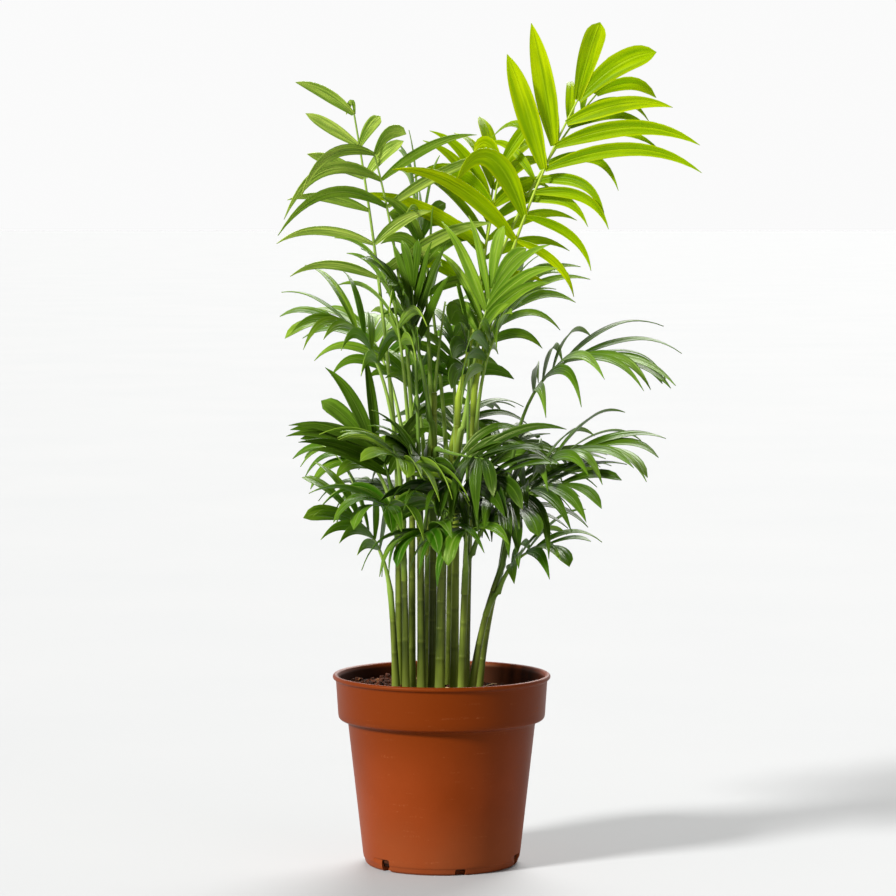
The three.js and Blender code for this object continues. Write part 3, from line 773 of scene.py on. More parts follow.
@dataclass(frozen=True)
class LeafFinish:
    """Colours and gloss of one age of leaf."""

    name: str
    deep: Colour
    light: Colour
    # Lightest green, for the pale margins and where painted light lifts a leaf's shade past 0.8.
    bright: Colour
    rib: Colour
    glow: Colour
    through: float
    rough: float = 0.34
    gloss: float = 0.4
    contrast: float = 1.0
    edge: float = 0.12
    sheen: Colour = colour("DCEC90")
    dry: Colour = colour("6E4E1C")

    def material(self) -> bpy.types.Material:
        """Leaf with a pale rib, pleats along it and a drift of colour, with painted shade on one
        side and painted light in its stored shade.
        """
        sh = Shader(self.name)
        uv = sh.node("ShaderNodeUVMap", {"uv_map": "leaf"}, {}).outputs[0]
        across, along = sh.axis(uv, 0), sh.axis(uv, 1)
        half = abs(across - 0.5) * 2.0
        rib = 1.0 - half.step(0.0, 0.13)
        plain = 1.0 - along.step(0.72, 0.95)
        pleats = (half * 9.0 + 0.8).sine() * 0.5 + 0.5
        own = sh.mark("shade")
        streaks = sh.streaks(across * 5.5, along * 1.6, own * 61.0)
        drift = sh.noise(38.0)
        cloud = sh.noise(140.0, 2.0)
        # The stored shade is partly painted light, from the height of each frond and its own
        # offsets.
        shade = own * 0.85 + drift * 0.5 + cloud * 0.16 - 0.24
        shade = shade + along.step(0.1, 0.7) * 0.2 - 0.1
        body = sh.blend(shade.step(0.0, 1.0), self.deep, self.light)
        body = sh.blend(shade.step(0.8, 1.6), body, self.bright)
        body = sh.blend(streaks * (0.2 + plain * 0.25) * self.contrast, body, self.deep)
        body = sh.blend(pleats * plain * 0.12 * self.contrast, body, self.deep)
        # Painted shade: one side of every leaflet is darker, as if its fold turned that side from
        # the light.
        body = sh.blend(across.step(0.35, 0.95) * 0.28 * self.contrast, body, self.deep)
        body = sh.blend(half.step(0.6, 1.0) * self.edge, body, self.bright)
        body = sh.blend(rib * 0.3, body, self.rib)
        tip = (along + sh.mark("dry") - 1.0).step(0.0, 0.05)
        body = sh.blend(tip * 0.85, body, self.dry)
        relief = pleats * plain * 0.5 + streaks * 0.3 - rib * 0.8 + cloud * 0.2
        sockets = {
            "Base Color": body,
            "Roughness": drift * 0.16 + tip * 0.3 + (self.rough - 0.08),
            "Specular IOR Level": self.gloss,
            "Specular Tint": self.sheen,
            "Normal": sh.bump(relief, 0.0004, 0.7),
        }
        return sh.finish(sockets, (self.glow, self.through))


@dataclass(frozen=True)
class StalkFinish:
    """Green of canes and petioles, with pale rings, a lighter yellow-green foot, and lighter
    higher up.

    A petiole's sheath starts in the colour of the cane that it clasps.
    """

    name: str
    deep: Colour
    light: Colour
    ring: Colour = colour("A9B36A")
    foot: Colour = colour("84903C")
    sheath: Optional[Colour] = None

    def material(self) -> bpy.types.Material:
        """Smooth stalk with long streaks; its rings stand at whole numbers along it."""
        sh = Shader(self.name)
        along = sh.axis(sh.node("ShaderNodeUVMap", {"uv_map": "cane"}, {}).outputs[0], 1)
        streaks = sh.noise(420.0, 2.0, (1.0, 1.0, 0.08))
        drift = sh.noise(60.0)
        ring = 1.0 - abs((along + 0.5).fraction() - 0.5).step(0.01, 0.06)
        below = 1.0 - abs((along + 0.58).fraction() - 0.5).step(0.0, 0.1)
        each = sh.noise(120.0, 1.0, (1.0, 1.0, 0.02))
        upper = sh.axis(sh.place(), 2).step(0.13, 0.24)
        shade = each * 1.3 + streaks * 0.6 + drift * 0.6 + upper * 0.5 - 0.86
        body = sh.blend(shade.step(0.05, 0.95), self.deep, self.light)
        body = sh.blend(below * 0.3, body, self.deep)
        if self.sheath:
            body = sh.blend((along + streaks * 0.04).step(0.3, 0.44), self.sheath, body)
        body = sh.blend(ring * 0.12, body, self.ring)
        height = sh.axis(sh.place(), 2) + drift * 0.016
        body = sh.blend((1.0 - height.step(0.098, 0.13)) * 0.5, body, self.foot)
        sockets = {
            "Base Color": body,
            "Roughness": streaks * 0.2 + 0.26,
            "Specular IOR Level": 0.42,
            "Specular Tint": colour("E8F0B0"),
            "Normal": sh.bump(streaks * 0.5 + ring * 0.6, 0.00025, 0.7),
        }
        return sh.finish(sockets)


@dataclass(frozen=True)
class PotFinish:
    """Moulded plastic of the pot."""

    name: str = "pot plastic"
    body: Colour = colour("7C320E")
    dark: Colour = colour("6C2905")
    band: Colour = colour("682702")
    dust: Colour = colour("9C5A38")
    inner_shade_and_stain: Colour = colour("220A03")
    rough: float = 0.46

    def material(self) -> bpy.types.Material:
        """Satin plastic with moulding lines, scuffs, dust at the foot, painted shade towards the
        band and an inside darkened by painted shade and soil stain.
        """
        sh = Shader(self.name)
        drift = sh.noise(18.0, 4.0)
        fine = sh.noise(900.0, 2.0)
        drag = sh.noise(60.0, 3.0, (1.0, 1.0, 9.0))
        height = sh.axis(sh.place(), 2)
        body = sh.blend(drift.step(0.3, 0.75), self.body, self.dark)
        # Darker towards the top and on the band: partly the band's deeper colour, partly painted
        # shade.
        body = sh.blend(height.step(0.04, 0.09), body, self.band)
        scuff = drag.step(0.62, 0.72) * fine.step(0.45, 0.7)
        foot = (1.0 - height.step(0.0, 0.045)) * drift.step(0.25, 0.6)
        body = sh.blend(scuff * 0.26 + foot * 0.25, body, self.dust)
        # Painted shade inside the rim, with some soil stain: the inner wall above the soil is
        # darkened.
        inside = (1.0 - sh.radius().step(0.0563, 0.0572)) * height.step(0.081, 0.085)
        body = sh.blend(inside * (0.68 + drift * 0.4), body, self.inner_shade_and_stain)
        lines = (height * 5200.0).sine() * 0.5 + 0.5
        relief = fine * 0.55 + lines * 0.12 + drag * 0.3
        sockets = {
            "Base Color": body,
            "Roughness": drift * 0.16 + scuff * 0.2 + foot * 0.15 + (self.rough - 0.08),
            "Specular IOR Level": 0.16,
            "Specular Tint": colour("FFCFA0"),
            "Normal": sh.bump(relief, 0.00012, 0.5),
        }
        return sh.finish(sockets)


@dataclass(frozen=True)
class GrainFinish:
    """Mottled matt colour of soil and what lies in it."""

    name: str
    dark: Colour
    light: Colour
    scale: float
    relief: float = 0.0006
    rough: float = 0.92

    def material(self) -> bpy.types.Material:
        """Two colours in lumps of two sizes, with relief."""
        sh = Shader(self.name)
        large, small = sh.noise(self.scale, 5.0), sh.noise(self.scale * 5.0, 3.0)
        share = (large * 0.6 + small * 0.55).step(0.42, 0.74)
        sockets = {
            "Base Color": sh.blend(share, self.dark, self.light),
            "Roughness": small * 0.12 + (self.rough - 0.1),
            "Specular IOR Level": 0.15,
            "Normal": sh.bump(large * 0.6 + small * 0.5, self.relief),
        }
        return sh.finish(sockets)


LEAF_FINISHES = {
    Tone.NEW: LeafFinish(
        name="young leaf",
        deep=colour("3E6E00"),
        light=colour("A0BA00"),
        bright=colour("E2E604"),
        rib=colour("BCD01C"),
        glow=colour("B4D000"),
        through=0.4,
        gloss=0.18,
        contrast=1.25,
        edge=0.32,
    ),
    Tone.MID: LeafFinish(
        name="green leaf",
        deep=colour("2E5C06"),
        light=colour("98B832"),
        bright=colour("CADA62"),
        rib=colour("BED070"),
        glow=colour("98C410"),
        through=0.34,
        contrast=1.35,
    ),
    Tone.OLD: LeafFinish(
        name="deep green leaf",
        deep=colour("102A02"),
        light=colour("567C10"),
        bright=colour("86AA3C"),
        rib=colour("7C9C34"),
        glow=colour("4A8404"),
        through=0.22,
    ),
}
CANE_FINISH = StalkFinish("green cane", colour("202C02"), colour("76862A"), colour("7E8A3C"))
SHEATH = colour("5A6A1C")
PETIOLE_FINISHES = {
    Tone.NEW: StalkFinish("young petiole", colour("5E7A0A"), colour("9AB034"), sheath=SHEATH),
    Tone.MID: StalkFinish("green petiole", colour("46660E"), colour("88A444"), sheath=SHEATH),
    Tone.OLD: StalkFinish("deep petiole", colour("2A460A"), colour("5E7C2C"), sheath=SHEATH),
}
SOIL_FINISH = GrainFinish("moist peat", colour("0E0502"), colour("5A2E18"), 260.0)
BARK_FINISH = GrainFinish("bark", colour("3A2010"), colour("8A5A34"), 500.0, 0.0003, 0.85)
GRIT_FINISH = GrainFinish("pale grit", colour("B9B2A2"), colour("EDE8DC"), 600.0, 0.0003, 0.9)
FIBRE_FINISH = GrainFinish("root fibre", colour("9A7A4C"), colour("D8C08E"), 400.0, 0.0001, 0.8)
POT_FINISH = PotFinish()
FINISHES = (
    *LEAF_FINISHES.values(),
    *PETIOLE_FINISHES.values(),
    CANE_FINISH,
    POT_FINISH,
    SOIL_FINISH,
    BARK_FINISH,
    GRIT_FINISH,
    FIBRE_FINISH,
)
MATERIALS = {finish.name: finish.material() for finish in FINISHES}


# ---------------------------------------------------------------- mesh helpers


def section(place: Vector, along: Vector, first: Vector, radius: float) -> Matrix:
    """Matrix of a round section.

    Args:
        place: Centre, in millimetres.
        along: Unit vector that the section faces.
        first: Unit vector that becomes X, square to it.
        radius: Radius, in millimetres.

    Returns:
        A matrix in metres that takes a unit circle to the section.
    """
    second = along.cross(first)
    third = first.cross(second)
    turn = Matrix((first, second, third)).transposed().to_4x4()
    return Matrix.Translation(place * MM) @ turn @ Matrix.Scale(radius * MM, 4)


def carried(stops: list[Stop], first: Vector) -> list[Matrix]:
    """Matrices of round sections along a curve.

    Args:
        stops: Centre, direction and radius of each section.
        first: Direction of their first axis, which is carried along the curve.

    Returns:
        Their matrices in turn.
    """
    matrices = []
    for place, along, radius in stops:
        first = square_to(first, along)
        matrices.append(section(place, along, first, radius))
    return matrices


def sweep(bm: bmesh.types.BMesh, sections: list[Matrix], sides: int, shares: list[float]) -> None:
    """Sweep a round section through a mesh, with closed ends and a map along it.

    Args:
        bm: Mesh to add to.
        sections: Matrix of each section in turn.
        sides: Number of sides.
        shares: Place of each section along the map.
    """
    uv = bm.loops.layers.uv.get("cane") or bm.loops.layers.uv.new("cane")
    level = bm.verts.layers.float.get("level") or bm.verts.layers.float.new("level")
    first = bmesh.ops.create_circle(
        bm, cap_ends=True, cap_tris=False, segments=sides, radius=1.0, matrix=sections[0]
    )["verts"]
    for vert in first:
        vert[level] = shares[0]
    faces = list(dict.fromkeys(face for vert in first for face in vert.link_faces))
    bmesh.ops.reverse_faces(bm, faces=faces)
    ring = list(dict.fromkeys(edge for vert in first for edge in vert.link_edges))
    for before, after, share in zip(sections, sections[1:], shares[1:]):
        grown = bmesh.ops.extrude_edge_only(bm, edges=ring)["geom"]
        verts = [g for g in grown if isinstance(g, bmesh.types.BMVert)]
        faces += [g for g in grown if isinstance(g, bmesh.types.BMFace)]
        ring = [g for g in grown if isinstance(g, bmesh.types.BMEdge)]
        ring = [edge for edge in ring if all(v in verts for v in edge.verts)]
        bmesh.ops.transform(bm, matrix=after @ before.inverted(), verts=verts)
        for vert in verts:
            vert[level] = share
    faces += bmesh.ops.contextual_create(bm, geom=ring)["faces"]
    for face in faces:
        face.smooth = len(face.verts) == 4
        for loop in face.loops:
            loop[uv].uv = (0.5, loop.vert[level])


def close_mesh(name: str, bm: bmesh.types.BMesh) -> bpy.types.Mesh:
    """Turn a mesh under construction, which is freed, into a named one."""
    mesh = bpy.data.meshes.new(name)
    bm.to_mesh(mesh)
    bm.free()
    return mesh


def new_object(name: str, data: bpy.types.ID) -> bpy.types.Object:
    """Object in the scene around a mesh, light or camera."""
    thing = bpy.data.objects.new(name, data)
    bpy.context.scene.collection.objects.link(thing)
    return thing


def new_piece(
    name: str, bm: bmesh.types.BMesh, materials: list[bpy.types.Material]
) -> bpy.types.Object:
    """Make a mesh a piece of the object that rides on its body.

    Args:
        name: Name of the piece.
        bm: Its mesh, which is freed.
        materials: Its materials in order.

    Returns:
        The piece.
    """
    bmesh.ops.recalc_face_normals(bm, faces=bm.faces[:])
    mesh = close_mesh(name, bm)
    for material in materials:
        mesh.materials.append(material)
    piece = new_object(name, mesh)
    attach(piece, BODY)
    LOG.info("%s: %d faces", name, len(mesh.polygons))
    return piece


# ---------------------------------------------------------------- fronds


@dataclass
class LeafPattern:
    """Flat leaflet in two layers, shaped anew for every leaflet."""

    wall: float = 0.34
    tip_width: float = 0.22
    root_share: float = 0.34  # width at the root, as a share of the full width
    widest: tuple[float, float] = (0.3, 0.68)  # where a narrow and a full leaflet are widest
    swell: float = 1.05  # of a narrow leaflet beyond its widest place
    blunt: int = 4  # power of a full leaflet's tip
    fold_power: float = 1.25
    flattening: float = 0.35  # loss of the fold at the tip
    ripple: float = 0.05
    ripple_turn: float = 9.5
    hang_from: float = 0.55
    hang_reach: float = 0.45

    SHEET = 0.06

    def __post_init__(self) -> None:
        """Build one pattern for each grain."""
        self.meshes = {grain: self.cut(grain) for grain in Grain}

    def cut(self, grain: Grain) -> bpy.types.Mesh:
        """Flat strip from 0 to 1 along Y and from -1 to 1 along X, with an under layer.

        Args:
            grain: Columns and rows.

        Returns:
            A closed mesh with a map and sharp rims.
        """
        columns, rows = grain.value
        bm = bmesh.new()
        uv = bm.loops.layers.uv.new("leaf")
        bmesh.ops.create_grid(bm, x_segments=columns, y_segments=rows, size=1.0)
        bmesh.ops.solidify(bm, geom=bm.faces[:], thickness=self.SHEET)
        high = max(v.co.z for v in bm.verts)
        for vert in bm.verts:
            vert.co.z = 1.0 if vert.co.z > high - self.SHEET / 2 else 0.0
            vert.co.y = vert.co.y / 2 + 0.5
        bm.normal_update()
        for face in bm.faces:
            face.smooth = True
            for loop in face.loops:
                loop[uv].uv = (loop.vert.co.x / 2 + 0.5, loop.vert.co.y)
        for edge in bm.edges:
            flats = [abs(face.normal.z) > 0.5 for face in edge.link_faces]
            edge.smooth = all(flats) or not any(flats)
        bmesh.ops.recalc_face_normals(bm, faces=bm.faces[:])
        return close_mesh("leaflet pattern", bm)

    def add(self, bm: bmesh.types.BMesh, leaf: Leaflet) -> None:
        """Add one leaflet to a mesh, shaped from the flat pattern."""
        done = len(bm.verts)
        bm.from_mesh(self.meshes[leaf.grain])
        bm.verts.ensure_lookup_table()
        shade, dry = (bm.verts.layers.float[name] for name in ("shade", "dry"))
        rows: dict[float, tuple] = {}
        side = leaf.across
        for along in sorted({vert.co.y for vert in bm.verts[done:]}):
            rows[along] = self.row(leaf, along, side)
            side = rows[along][1]
        for vert in bm.verts[done:]:
            across, along, layer = vert.co
            place, side, face, half = rows[along]
            flat = 1 - self.flattening * along
            drop = -leaf.fold * half * abs(across) ** self.fold_power * flat
            ripple = self.ripple * half * math.sin(self.ripple_turn * abs(across))
            wall = self.wall * (1 + 0.5 * (1 - abs(across)))
            lift = drop + ripple * math.sin(math.pi * along) + (layer - 0.5) * wall
            vert.co = (place + side * across * half + face * lift) * MM
            vert[shade] = leaf.shade
            vert[dry] = leaf.dry

    def row(self, leaf: Leaflet, along: float, side: Vector) -> tuple:
        """Frame of a leaflet at one place along it.

        Args:
            leaf: The leaflet.
            along: Share of its length.
            side: Its width direction just before that place.

        Returns:
            Place, width direction, upper side and half width.
        """
        tangent = leaf.midline.tangent(along)
        side = square_to(side, tangent)
        face = side.cross(tangent)
        widest = lerp(*self.widest, leaf.full)
        if along < widest:
            spread = lerp(self.root_share, 1.0, math.sin(math.pi / 2 * along / widest))
        else:
            gone = (along - widest) / (1 - widest)
            slender = (1 - gone) * (1 + self.swell * gone)
            spread = lerp(slender, 1 - gone**self.blunt, leaf.full)
        half = max(leaf.width / 2 * spread, self.tip_width / 2)
        place = leaf.midline.point(along) + side * leaf.curl * math.sin(math.pi * along)
        hang = max(0.0, along - self.hang_from) / self.hang_reach
        place = place + (tangent * 0.5 - UP * 0.5) * leaf.hook * hang * hang
        return place, side, face, half




@dataclass(frozen=True)
class LeafletHabit:
    """Numbers that turn a leaflet's plan into its looks."""

    long: float = 40.0  # length from which it is finely divided
    curl: float = 0.02  # largest sideways curl, as a share of its length
    hook: float = 0.1  # hang of its tip, as a share of its length
    set_hook: float = 0.03  # the same where every leaflet has its own sizes
    dry: float = 0.03  # largest dry share at its tip
    fold: float = 0.24  # drop of its rims for each millimetre of half width
    fold_spread: float = 0.1
    full_rate: float = 9.0  # a wide leaflet is fuller than a narrow one
    full_start: float = 1.35
    rolled_from: float = 140.0  # degrees of bend from which it rolls up and narrows
    rolled_over: float = 20.0
    rolled_loss: float = 0.6
    # A frond's shade rises with the height of its tip: partly younger, lighter leaves, and partly
    # painted light, deeper low in the clump and lighter high in the crown.
    shade: float = 0.34  # 0 is the deepest green of a leaf and 1 a light one
    shade_gain: float = 0.5  # from the foot of the crown to its top
    shade_spread: float = 0.3
    depth: float = 220.0  # height of a tip from which a frond gets lighter
    depth_reach: float = 120.0

    def crown_light_and_age(self, plan: FrondPlan) -> float:
        """Shade of a frond by the height that it reaches, partly its age and partly painted light.
        """
        return self.shade + self.shade_gain * clamp(
            (plan.tip[2] - self.depth) / self.depth_reach, 0, 1
        )

    def dress(
        self, leaf: LeafletPlan, plan: FrondPlan, place: tuple, looks: list[float]
    ) -> Leaflet:
        """Leaflet in its place with its looks.

        Args:
            leaf: Its sizes.
            plan: Its frond.
            place: Its midline, its width direction and the shift that it was given.
            looks: Four casts from -1 to 1.

        Returns:
            The leaflet.
        """
        midline, across, shift = place
        length = leaf.length * shift[3]
        rolled = clamp((leaf.bend - self.rolled_from) / self.rolled_over, 0.0, 1.0)
        return Leaflet(
            midline=midline,
            across=across,
            width=leaf.width * (1 - self.rolled_loss * rolled),
            grain=Grain.FINE if length > self.long else Grain.PLAIN,
            curl=self.curl * looks[0] * length,
            hook=(self.set_hook if plan.left else self.hook) * length,
            full=clamp(leaf.width / length * self.full_rate - self.full_start, 0.0, 1.0),
            fold=self.fold + self.fold_spread * looks[1],
            shade=self.crown_light_and_age(plan) + plan.shade(leaf.hand) + self.shade_spread * looks[2],
            dry=self.dry * max(0.0, looks[3]),
        )


HABIT = LeafletHabit()


@dataclass
class Frond:
    """One frond: a petiole that clasps its cane, a rachis and its leaflets."""

    name: str
    plan: FrondPlan
    arc: Arc
    leaflets: list[Leaflet]
    sheath: float = 15.0
    sheath_steps: int = 6
    sheath_wall: tuple[float, float] = (0.18, 0.25)
    petiole_foot: float = 1.9
    petiole: tuple[float, float] = (1.42, 0.5)
    flare: float = 0.45
    flare_length: float = 4.0
    step: float = 7.0
    least_steps: int = 14
    sides: int = 8

    LOOKS_SEED = 301
    LEAST_HEIGHT = 0.02

    @classmethod
    def grow(cls, index: int) -> "Frond":
        """Grow a frond as its solid grew.

        Args:
            index: Its row in the table.

        Returns:
            The frond, with the leaflets that its solid has.
        """
        plan, name = FRONDS[index], f"frond_{index + 1:02d}"
        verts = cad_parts[name].data.vertices
        tree = KDTree(len(verts))
        for vert in verts:
            tree.insert(vert.co / MM, vert.index)
        tree.balance()
        arc = cls.find_arc(plan, tree)
        spans = pair_spans(plan, arc)
        leaflets = []
        dice = Dice(index + cls.LOOKS_SEED)
        for leaf in leaflet_plans(plan, index):
            looks = [dice.cast(-1, 1) for _ in range(4)]
            near, far = (rachis_corners(arc, share, plan.roll) for share in spans[leaf.pair])
            aside = 2 if leaf.hand < 0 else 1
            root = (near[0] + near[aside] + far[0] + far[aside]) / 4
            blade = blade_at(arc, spans[leaf.pair][0], plan.roll)
            places = [(*leaflet_midline(leaf, root, blade, s), s) for s in LEAF_SHIFTS]
            offsets = [tree.find(place[0].end)[2] for place in places]
            best = min(range(len(places)), key=lambda k: offsets[k])
            if offsets[best] <= MATCH:
                leaflets.append(HABIT.dress(leaf, plan, places[best], looks))
        return cls(name, plan, arc, leaflets)

    @staticmethod
    def find_arc(plan: FrondPlan, tree: KDTree) -> Arc:
        """Curve of the solid's petiole and rachis, among the turns it may have had."""
        best, closest = None, math.inf
        for lift in FROND_RISES:
            for turn in FROND_TURNS:
                arc = rachis_arc(plan, turn, lift)
                share = pair_spans(plan, arc)[0][0] / 2
                corners = rachis_corners(arc, share, plan.roll)
                offset = sum(tree.find(corner)[2] for corner in corners)
                if offset < closest:
                    best, closest = arc, offset
        if closest > len(corners) * MATCH:
            LOG.warning("a rachis is %.2f mm from its solid", closest)
        return best

    def build(self, pattern: LeafPattern) -> None:
        """Build and dress the frond, from the flat pattern of its leaflets."""
        bm = bmesh.new()
        bm.loops.layers.uv.new("leaf")
        for name in ("shade", "dry", "level"):
            bm.verts.layers.float.new(name)
        self.stalk(bm)
        for face in bm.faces:
            face.material_index = 1
        for leaflet in self.leaflets:
            pattern.add(bm, leaflet)
        tone = self.plan.tone
        finishes = LEAF_FINISHES[tone], PETIOLE_FINISHES[tone]
        materials = [MATERIALS[finish.name] for finish in finishes]
        piece = new_piece(f"leafy_{self.name}", bm, materials)
        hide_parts(self.name)

    def sheath_stops(self) -> list[Stop]:
        """Sections of the sheath, which clasps the cane and leans out into the petiole."""
        cane, at = CANES[self.plan.stem], self.plan.at
        line = cane_arc(cane)
        low = max(self.LEAST_HEIGHT, at - self.sheath / line.length())
        inner, outer = self.sheath_wall
        hold = cane_radius(cane, at) + outer
        stops = []
        for i in range(self.sheath_steps):
            share = i / self.sheath_steps
            level = lerp(low, at, share)
            ease = share * share
            centre = line.point(level).lerp(self.arc.start, ease * 0.85)
            along = line.tangent(level).slerp(self.arc.tangent(0), ease * 0.7)
            clasp = cane_radius(cane, level) + inner
            stops.append((centre, along, lerp(clasp, lerp(hold, self.petiole_foot, ease), share)))
        return stops

    def rachis_stops(self) -> list[Stop]:
        """Sections of the petiole and rachis, which taper from a flare at the sheath."""
        long = self.arc.length()
        steps = max(self.least_steps, int(long / self.step))
        stops = []
        for i in range(steps + 1):
            share = i / steps
            slim = lerp(*self.petiole, share**0.8)
            flare = self.flare * math.exp(-share * long / self.flare_length)
            stops.append((self.arc.point(share), self.arc.tangent(share), slim + flare))
        return stops

    def stalk(self, bm: bmesh.types.BMesh) -> None:
        """Sheath, petiole and rachis in one sweep, with a map that slows down along them."""
        stops = self.sheath_stops() + self.rachis_stops()
        first = square_to(self.arc.end - self.arc.start, stops[0][1])
        shares, gone = [], 0.0
        for before, after in zip([stops[0]] + stops, stops):
            gone += (after[0] - before[0]).length
            shares.append(0.3 + 0.4 * gone / (gone + 40))
        sweep(bm, carried(stops, first), self.sides, shares)


# ---------------------------------------------------------------- canes


@dataclass
class Cane:
    """One cane with its leaf-scar rings."""

    name: str
    plan: CanePlan
    internode: float
    sides: int = 14
    least_rings: int = 3
    crowding: float = 0.85  # below 1, rings stand closer together towards the top
    swell: float = 0.045
    ring_reach: float = 0.045
    pinch: float = 0.03
    pinch_reach: float = 0.1
    flare: float = 0.22
    flare_length: float = 7.0
    levels: tuple = (0.0, 0.05, 0.12, 0.3, 0.5, 0.75, 0.92)

    def build(self) -> None:
        """Build and dress the cane."""
        line = cane_arc(self.plan)
        long = line.length()
        count = max(self.least_rings, round(long / self.internode))
        marks = [k + level for k in range(count) for level in self.levels] + [float(count)]
        stops = []
        for mark in marks:
            share = (mark / count) ** self.crowding
            near = abs((mark + 0.5) % 1.0 - 0.5)
            ring = self.swell * math.exp(-((near / self.ring_reach) ** 2))
            ring -= self.pinch * math.exp(-near / self.pinch_reach)
            foot = self.flare * math.exp(-share * long / self.flare_length)
            radius = cane_radius(self.plan, share) * (1 + ring + foot)
            stops.append((line.point(share), line.tangent(share), radius))
        bm = bmesh.new()
        sweep(bm, carried(stops, Vector((1.0, 0.0, 0.0))), self.sides, marks)
        piece = new_piece(f"ringed_{self.name}", bm, [MATERIALS[CANE_FINISH.name]])
        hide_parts(self.name)


# ---------------------------------------------------------------- pot and soil


def spin_profile(bm: bmesh.types.BMesh, profile: list[tuple[float, float]], steps: int) -> None:
    """Turn a profile of (radius, height) points in millimetres about the upright axis."""
    verts = [bm.verts.new((r * MM, 0.0, z * MM)) for r, z in profile]
    edges = [bm.edges.new(pair) for pair in zip(verts, verts[1:])]
    bmesh.ops.spin(
        bm, geom=verts + edges, cent=(0, 0, 0), axis=UP, angle=2 * math.pi, steps=steps,
        use_merge=True,
    )
    bmesh.ops.remove_doubles(bm, verts=bm.verts[:], dist=1e-6)
    bmesh.ops.dissolve_degenerate(bm, edges=bm.edges[:], dist=1e-7)
    bmesh.ops.recalc_face_normals(bm, faces=bm.faces[:])


def rounded(
    profile: list[tuple[float, float]], radius: float, steps: int = 3
) -> list[tuple[float, float]]:
    """Profile with its inner corners rounded.

    Args:
        profile: Points of (radius, height) from axis to axis.
        radius: Longest cut along each side of a corner.
        steps: Pieces of each round.

    Returns:
        The finer profile.
    """
    points = [Vector(p) for p in profile]
    out = [points[0]]
    for before, corner, after in zip(points, points[1:], points[2:]):
        near = corner.lerp(before, min(0.5, radius / (before - corner).length))
        far = corner.lerp(after, min(0.5, radius / (after - corner).length))
        for i in range(steps + 1):
            share = i / steps
            out.append(near.lerp(corner, share).lerp(corner.lerp(far, share), share))
    return [tuple(p) for p in out + [points[-1]]]


@dataclass
class Pot:
    """Nursery pot with a stepped band, a rolled lip and drainage notches."""

    steps: int = 144
    wall: tuple = (
        (0, 0), (38.8, 0), (40.6, 0), (41.9, 1.1), (42.6, 3.4), (43.1, 4.1), (43.5, 6.6),
        (51.6, 78.3), (52.0, 79.3), (53.0, 79.8), (55.7, 80.3), (56.7, 81.3), (57.0, 83.0),
        (58.2, 101.4), (58.6, 102.2), (59.6, 102.6), (60.0, 103.4), (59.9, 104.3), (59.2, 105),
        (58.3, 105), (57.3, 104.5), (56.5, 102.6), (55.3, 83.6), (50.5, 81.0), (42.1, 6.2),
        (40.6, 2.2), (0, 2.2),
    )
    notch_count: int = 6
    notch_turn: float = 14.0
    notch_width: float = 6.0
    notch_tops: tuple = (3.6, 6.4)
    notch_reach: tuple = (37.6, 47.0)
    panel_size: tuple = (13.0, 7.0)
    panel_reach: tuple = (42.3, 47.0)
    panel_shift: float = -3.0
    rounding: float = 0.45
    bar_round: float = 1.1
    crease: float = 32.0  # degrees from which an edge is sharp

    def build(self) -> None:
        """Spin the wall, cut the notches and dress the pot."""
        bm = bmesh.new()
        spin_profile(bm, rounded(list(self.wall), self.rounding), self.steps)
        for face in bm.faces:
            face.smooth = True
        piece = new_piece("moulded_pot", bm, [MATERIALS[POT_FINISH.name]])
        for panels in (False, True):
            tool = self.cutter(panels)
            cut = piece.modifiers.new("notches", "BOOLEAN")
            cut.operation = "DIFFERENCE"
            cut.solver = "EXACT"
            cut.object = tool
            graph = bpy.context.evaluated_depsgraph_get()
            piece.data = bpy.data.meshes.new_from_object(piece.evaluated_get(graph))
            piece.modifiers.clear()
            bpy.data.objects.remove(tool)
        piece.data.set_sharp_from_angle(angle=math.radians(self.crease))
        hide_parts("pot")

    def cutter(self, panels: bool) -> bpy.types.Object:
        """Rounded bars that cut the notches, or the panels round the tall ones.

        Args:
            panels: Whether to cut the panels.

        Returns:
            The bars, as one object.
        """
        bm = bmesh.new()
        for i in range(self.notch_count):
            turn = math.radians(self.notch_turn + 360 / self.notch_count * i - 90)
            top = self.notch_tops[i % 2]
            if not panels:
                self.bar(bm, turn, self.notch_reach, (self.notch_width, top), 0.0)
            elif i % 2:
                self.bar(bm, turn, self.panel_reach, self.panel_size, self.panel_shift)
        return new_object("cutter", close_mesh("cutter", bm))

    def bar(
        self, bm: bmesh.types.BMesh, turn: float, reach: tuple, size: tuple, shift: float
    ) -> None:
        """Add a bar with rounded upper edges that runs outwards from the axis.

        Args:
            bm: Mesh to add to.
            turn: Its direction about the upright axis, in radians.
            reach: Where it starts and ends, in millimetres from the axis.
            size: Its width, and its height above the floor.
            shift: How far it stands to one side.
        """
        low, high = reach
        scale = Vector((high - low, size[0], 2 * size[1])) * MM
        matrix = (
            Matrix.Rotation(turn, 4, "Z")
            @ Matrix.Translation(((low + high) / 2 * MM, shift * MM, 0))
            @ Matrix.Diagonal((*scale, 1.0))
        )
        verts = bmesh.ops.create_cube(bm, size=1.0, matrix=matrix)["verts"]
        out = Vector((math.cos(turn), math.sin(turn), 0.0))
        edges = list(dict.fromkeys(edge for vert in verts for edge in vert.link_edges))
        tops = [
            edge
            for edge in edges
            if all(vert.co.z > 0 for vert in edge.verts)
            and abs((edge.verts[0].co - edge.verts[1].co).normalized().dot(out)) > 0.9
        ]
        bmesh.ops.bevel(
            bm, geom=tops, offset=self.bar_round * MM, segments=3, profile=0.5, affect="EDGES",
            material=-1,
        )


@dataclass(frozen=True)
class Litter:
    """Small rough lumps: how many, their seed, radii, largest stretches and finish."""

    name: str
    count: int
    seed: int
    sizes: tuple[float, float]
    stretch: tuple[float, float, float]
    finish: GrainFinish


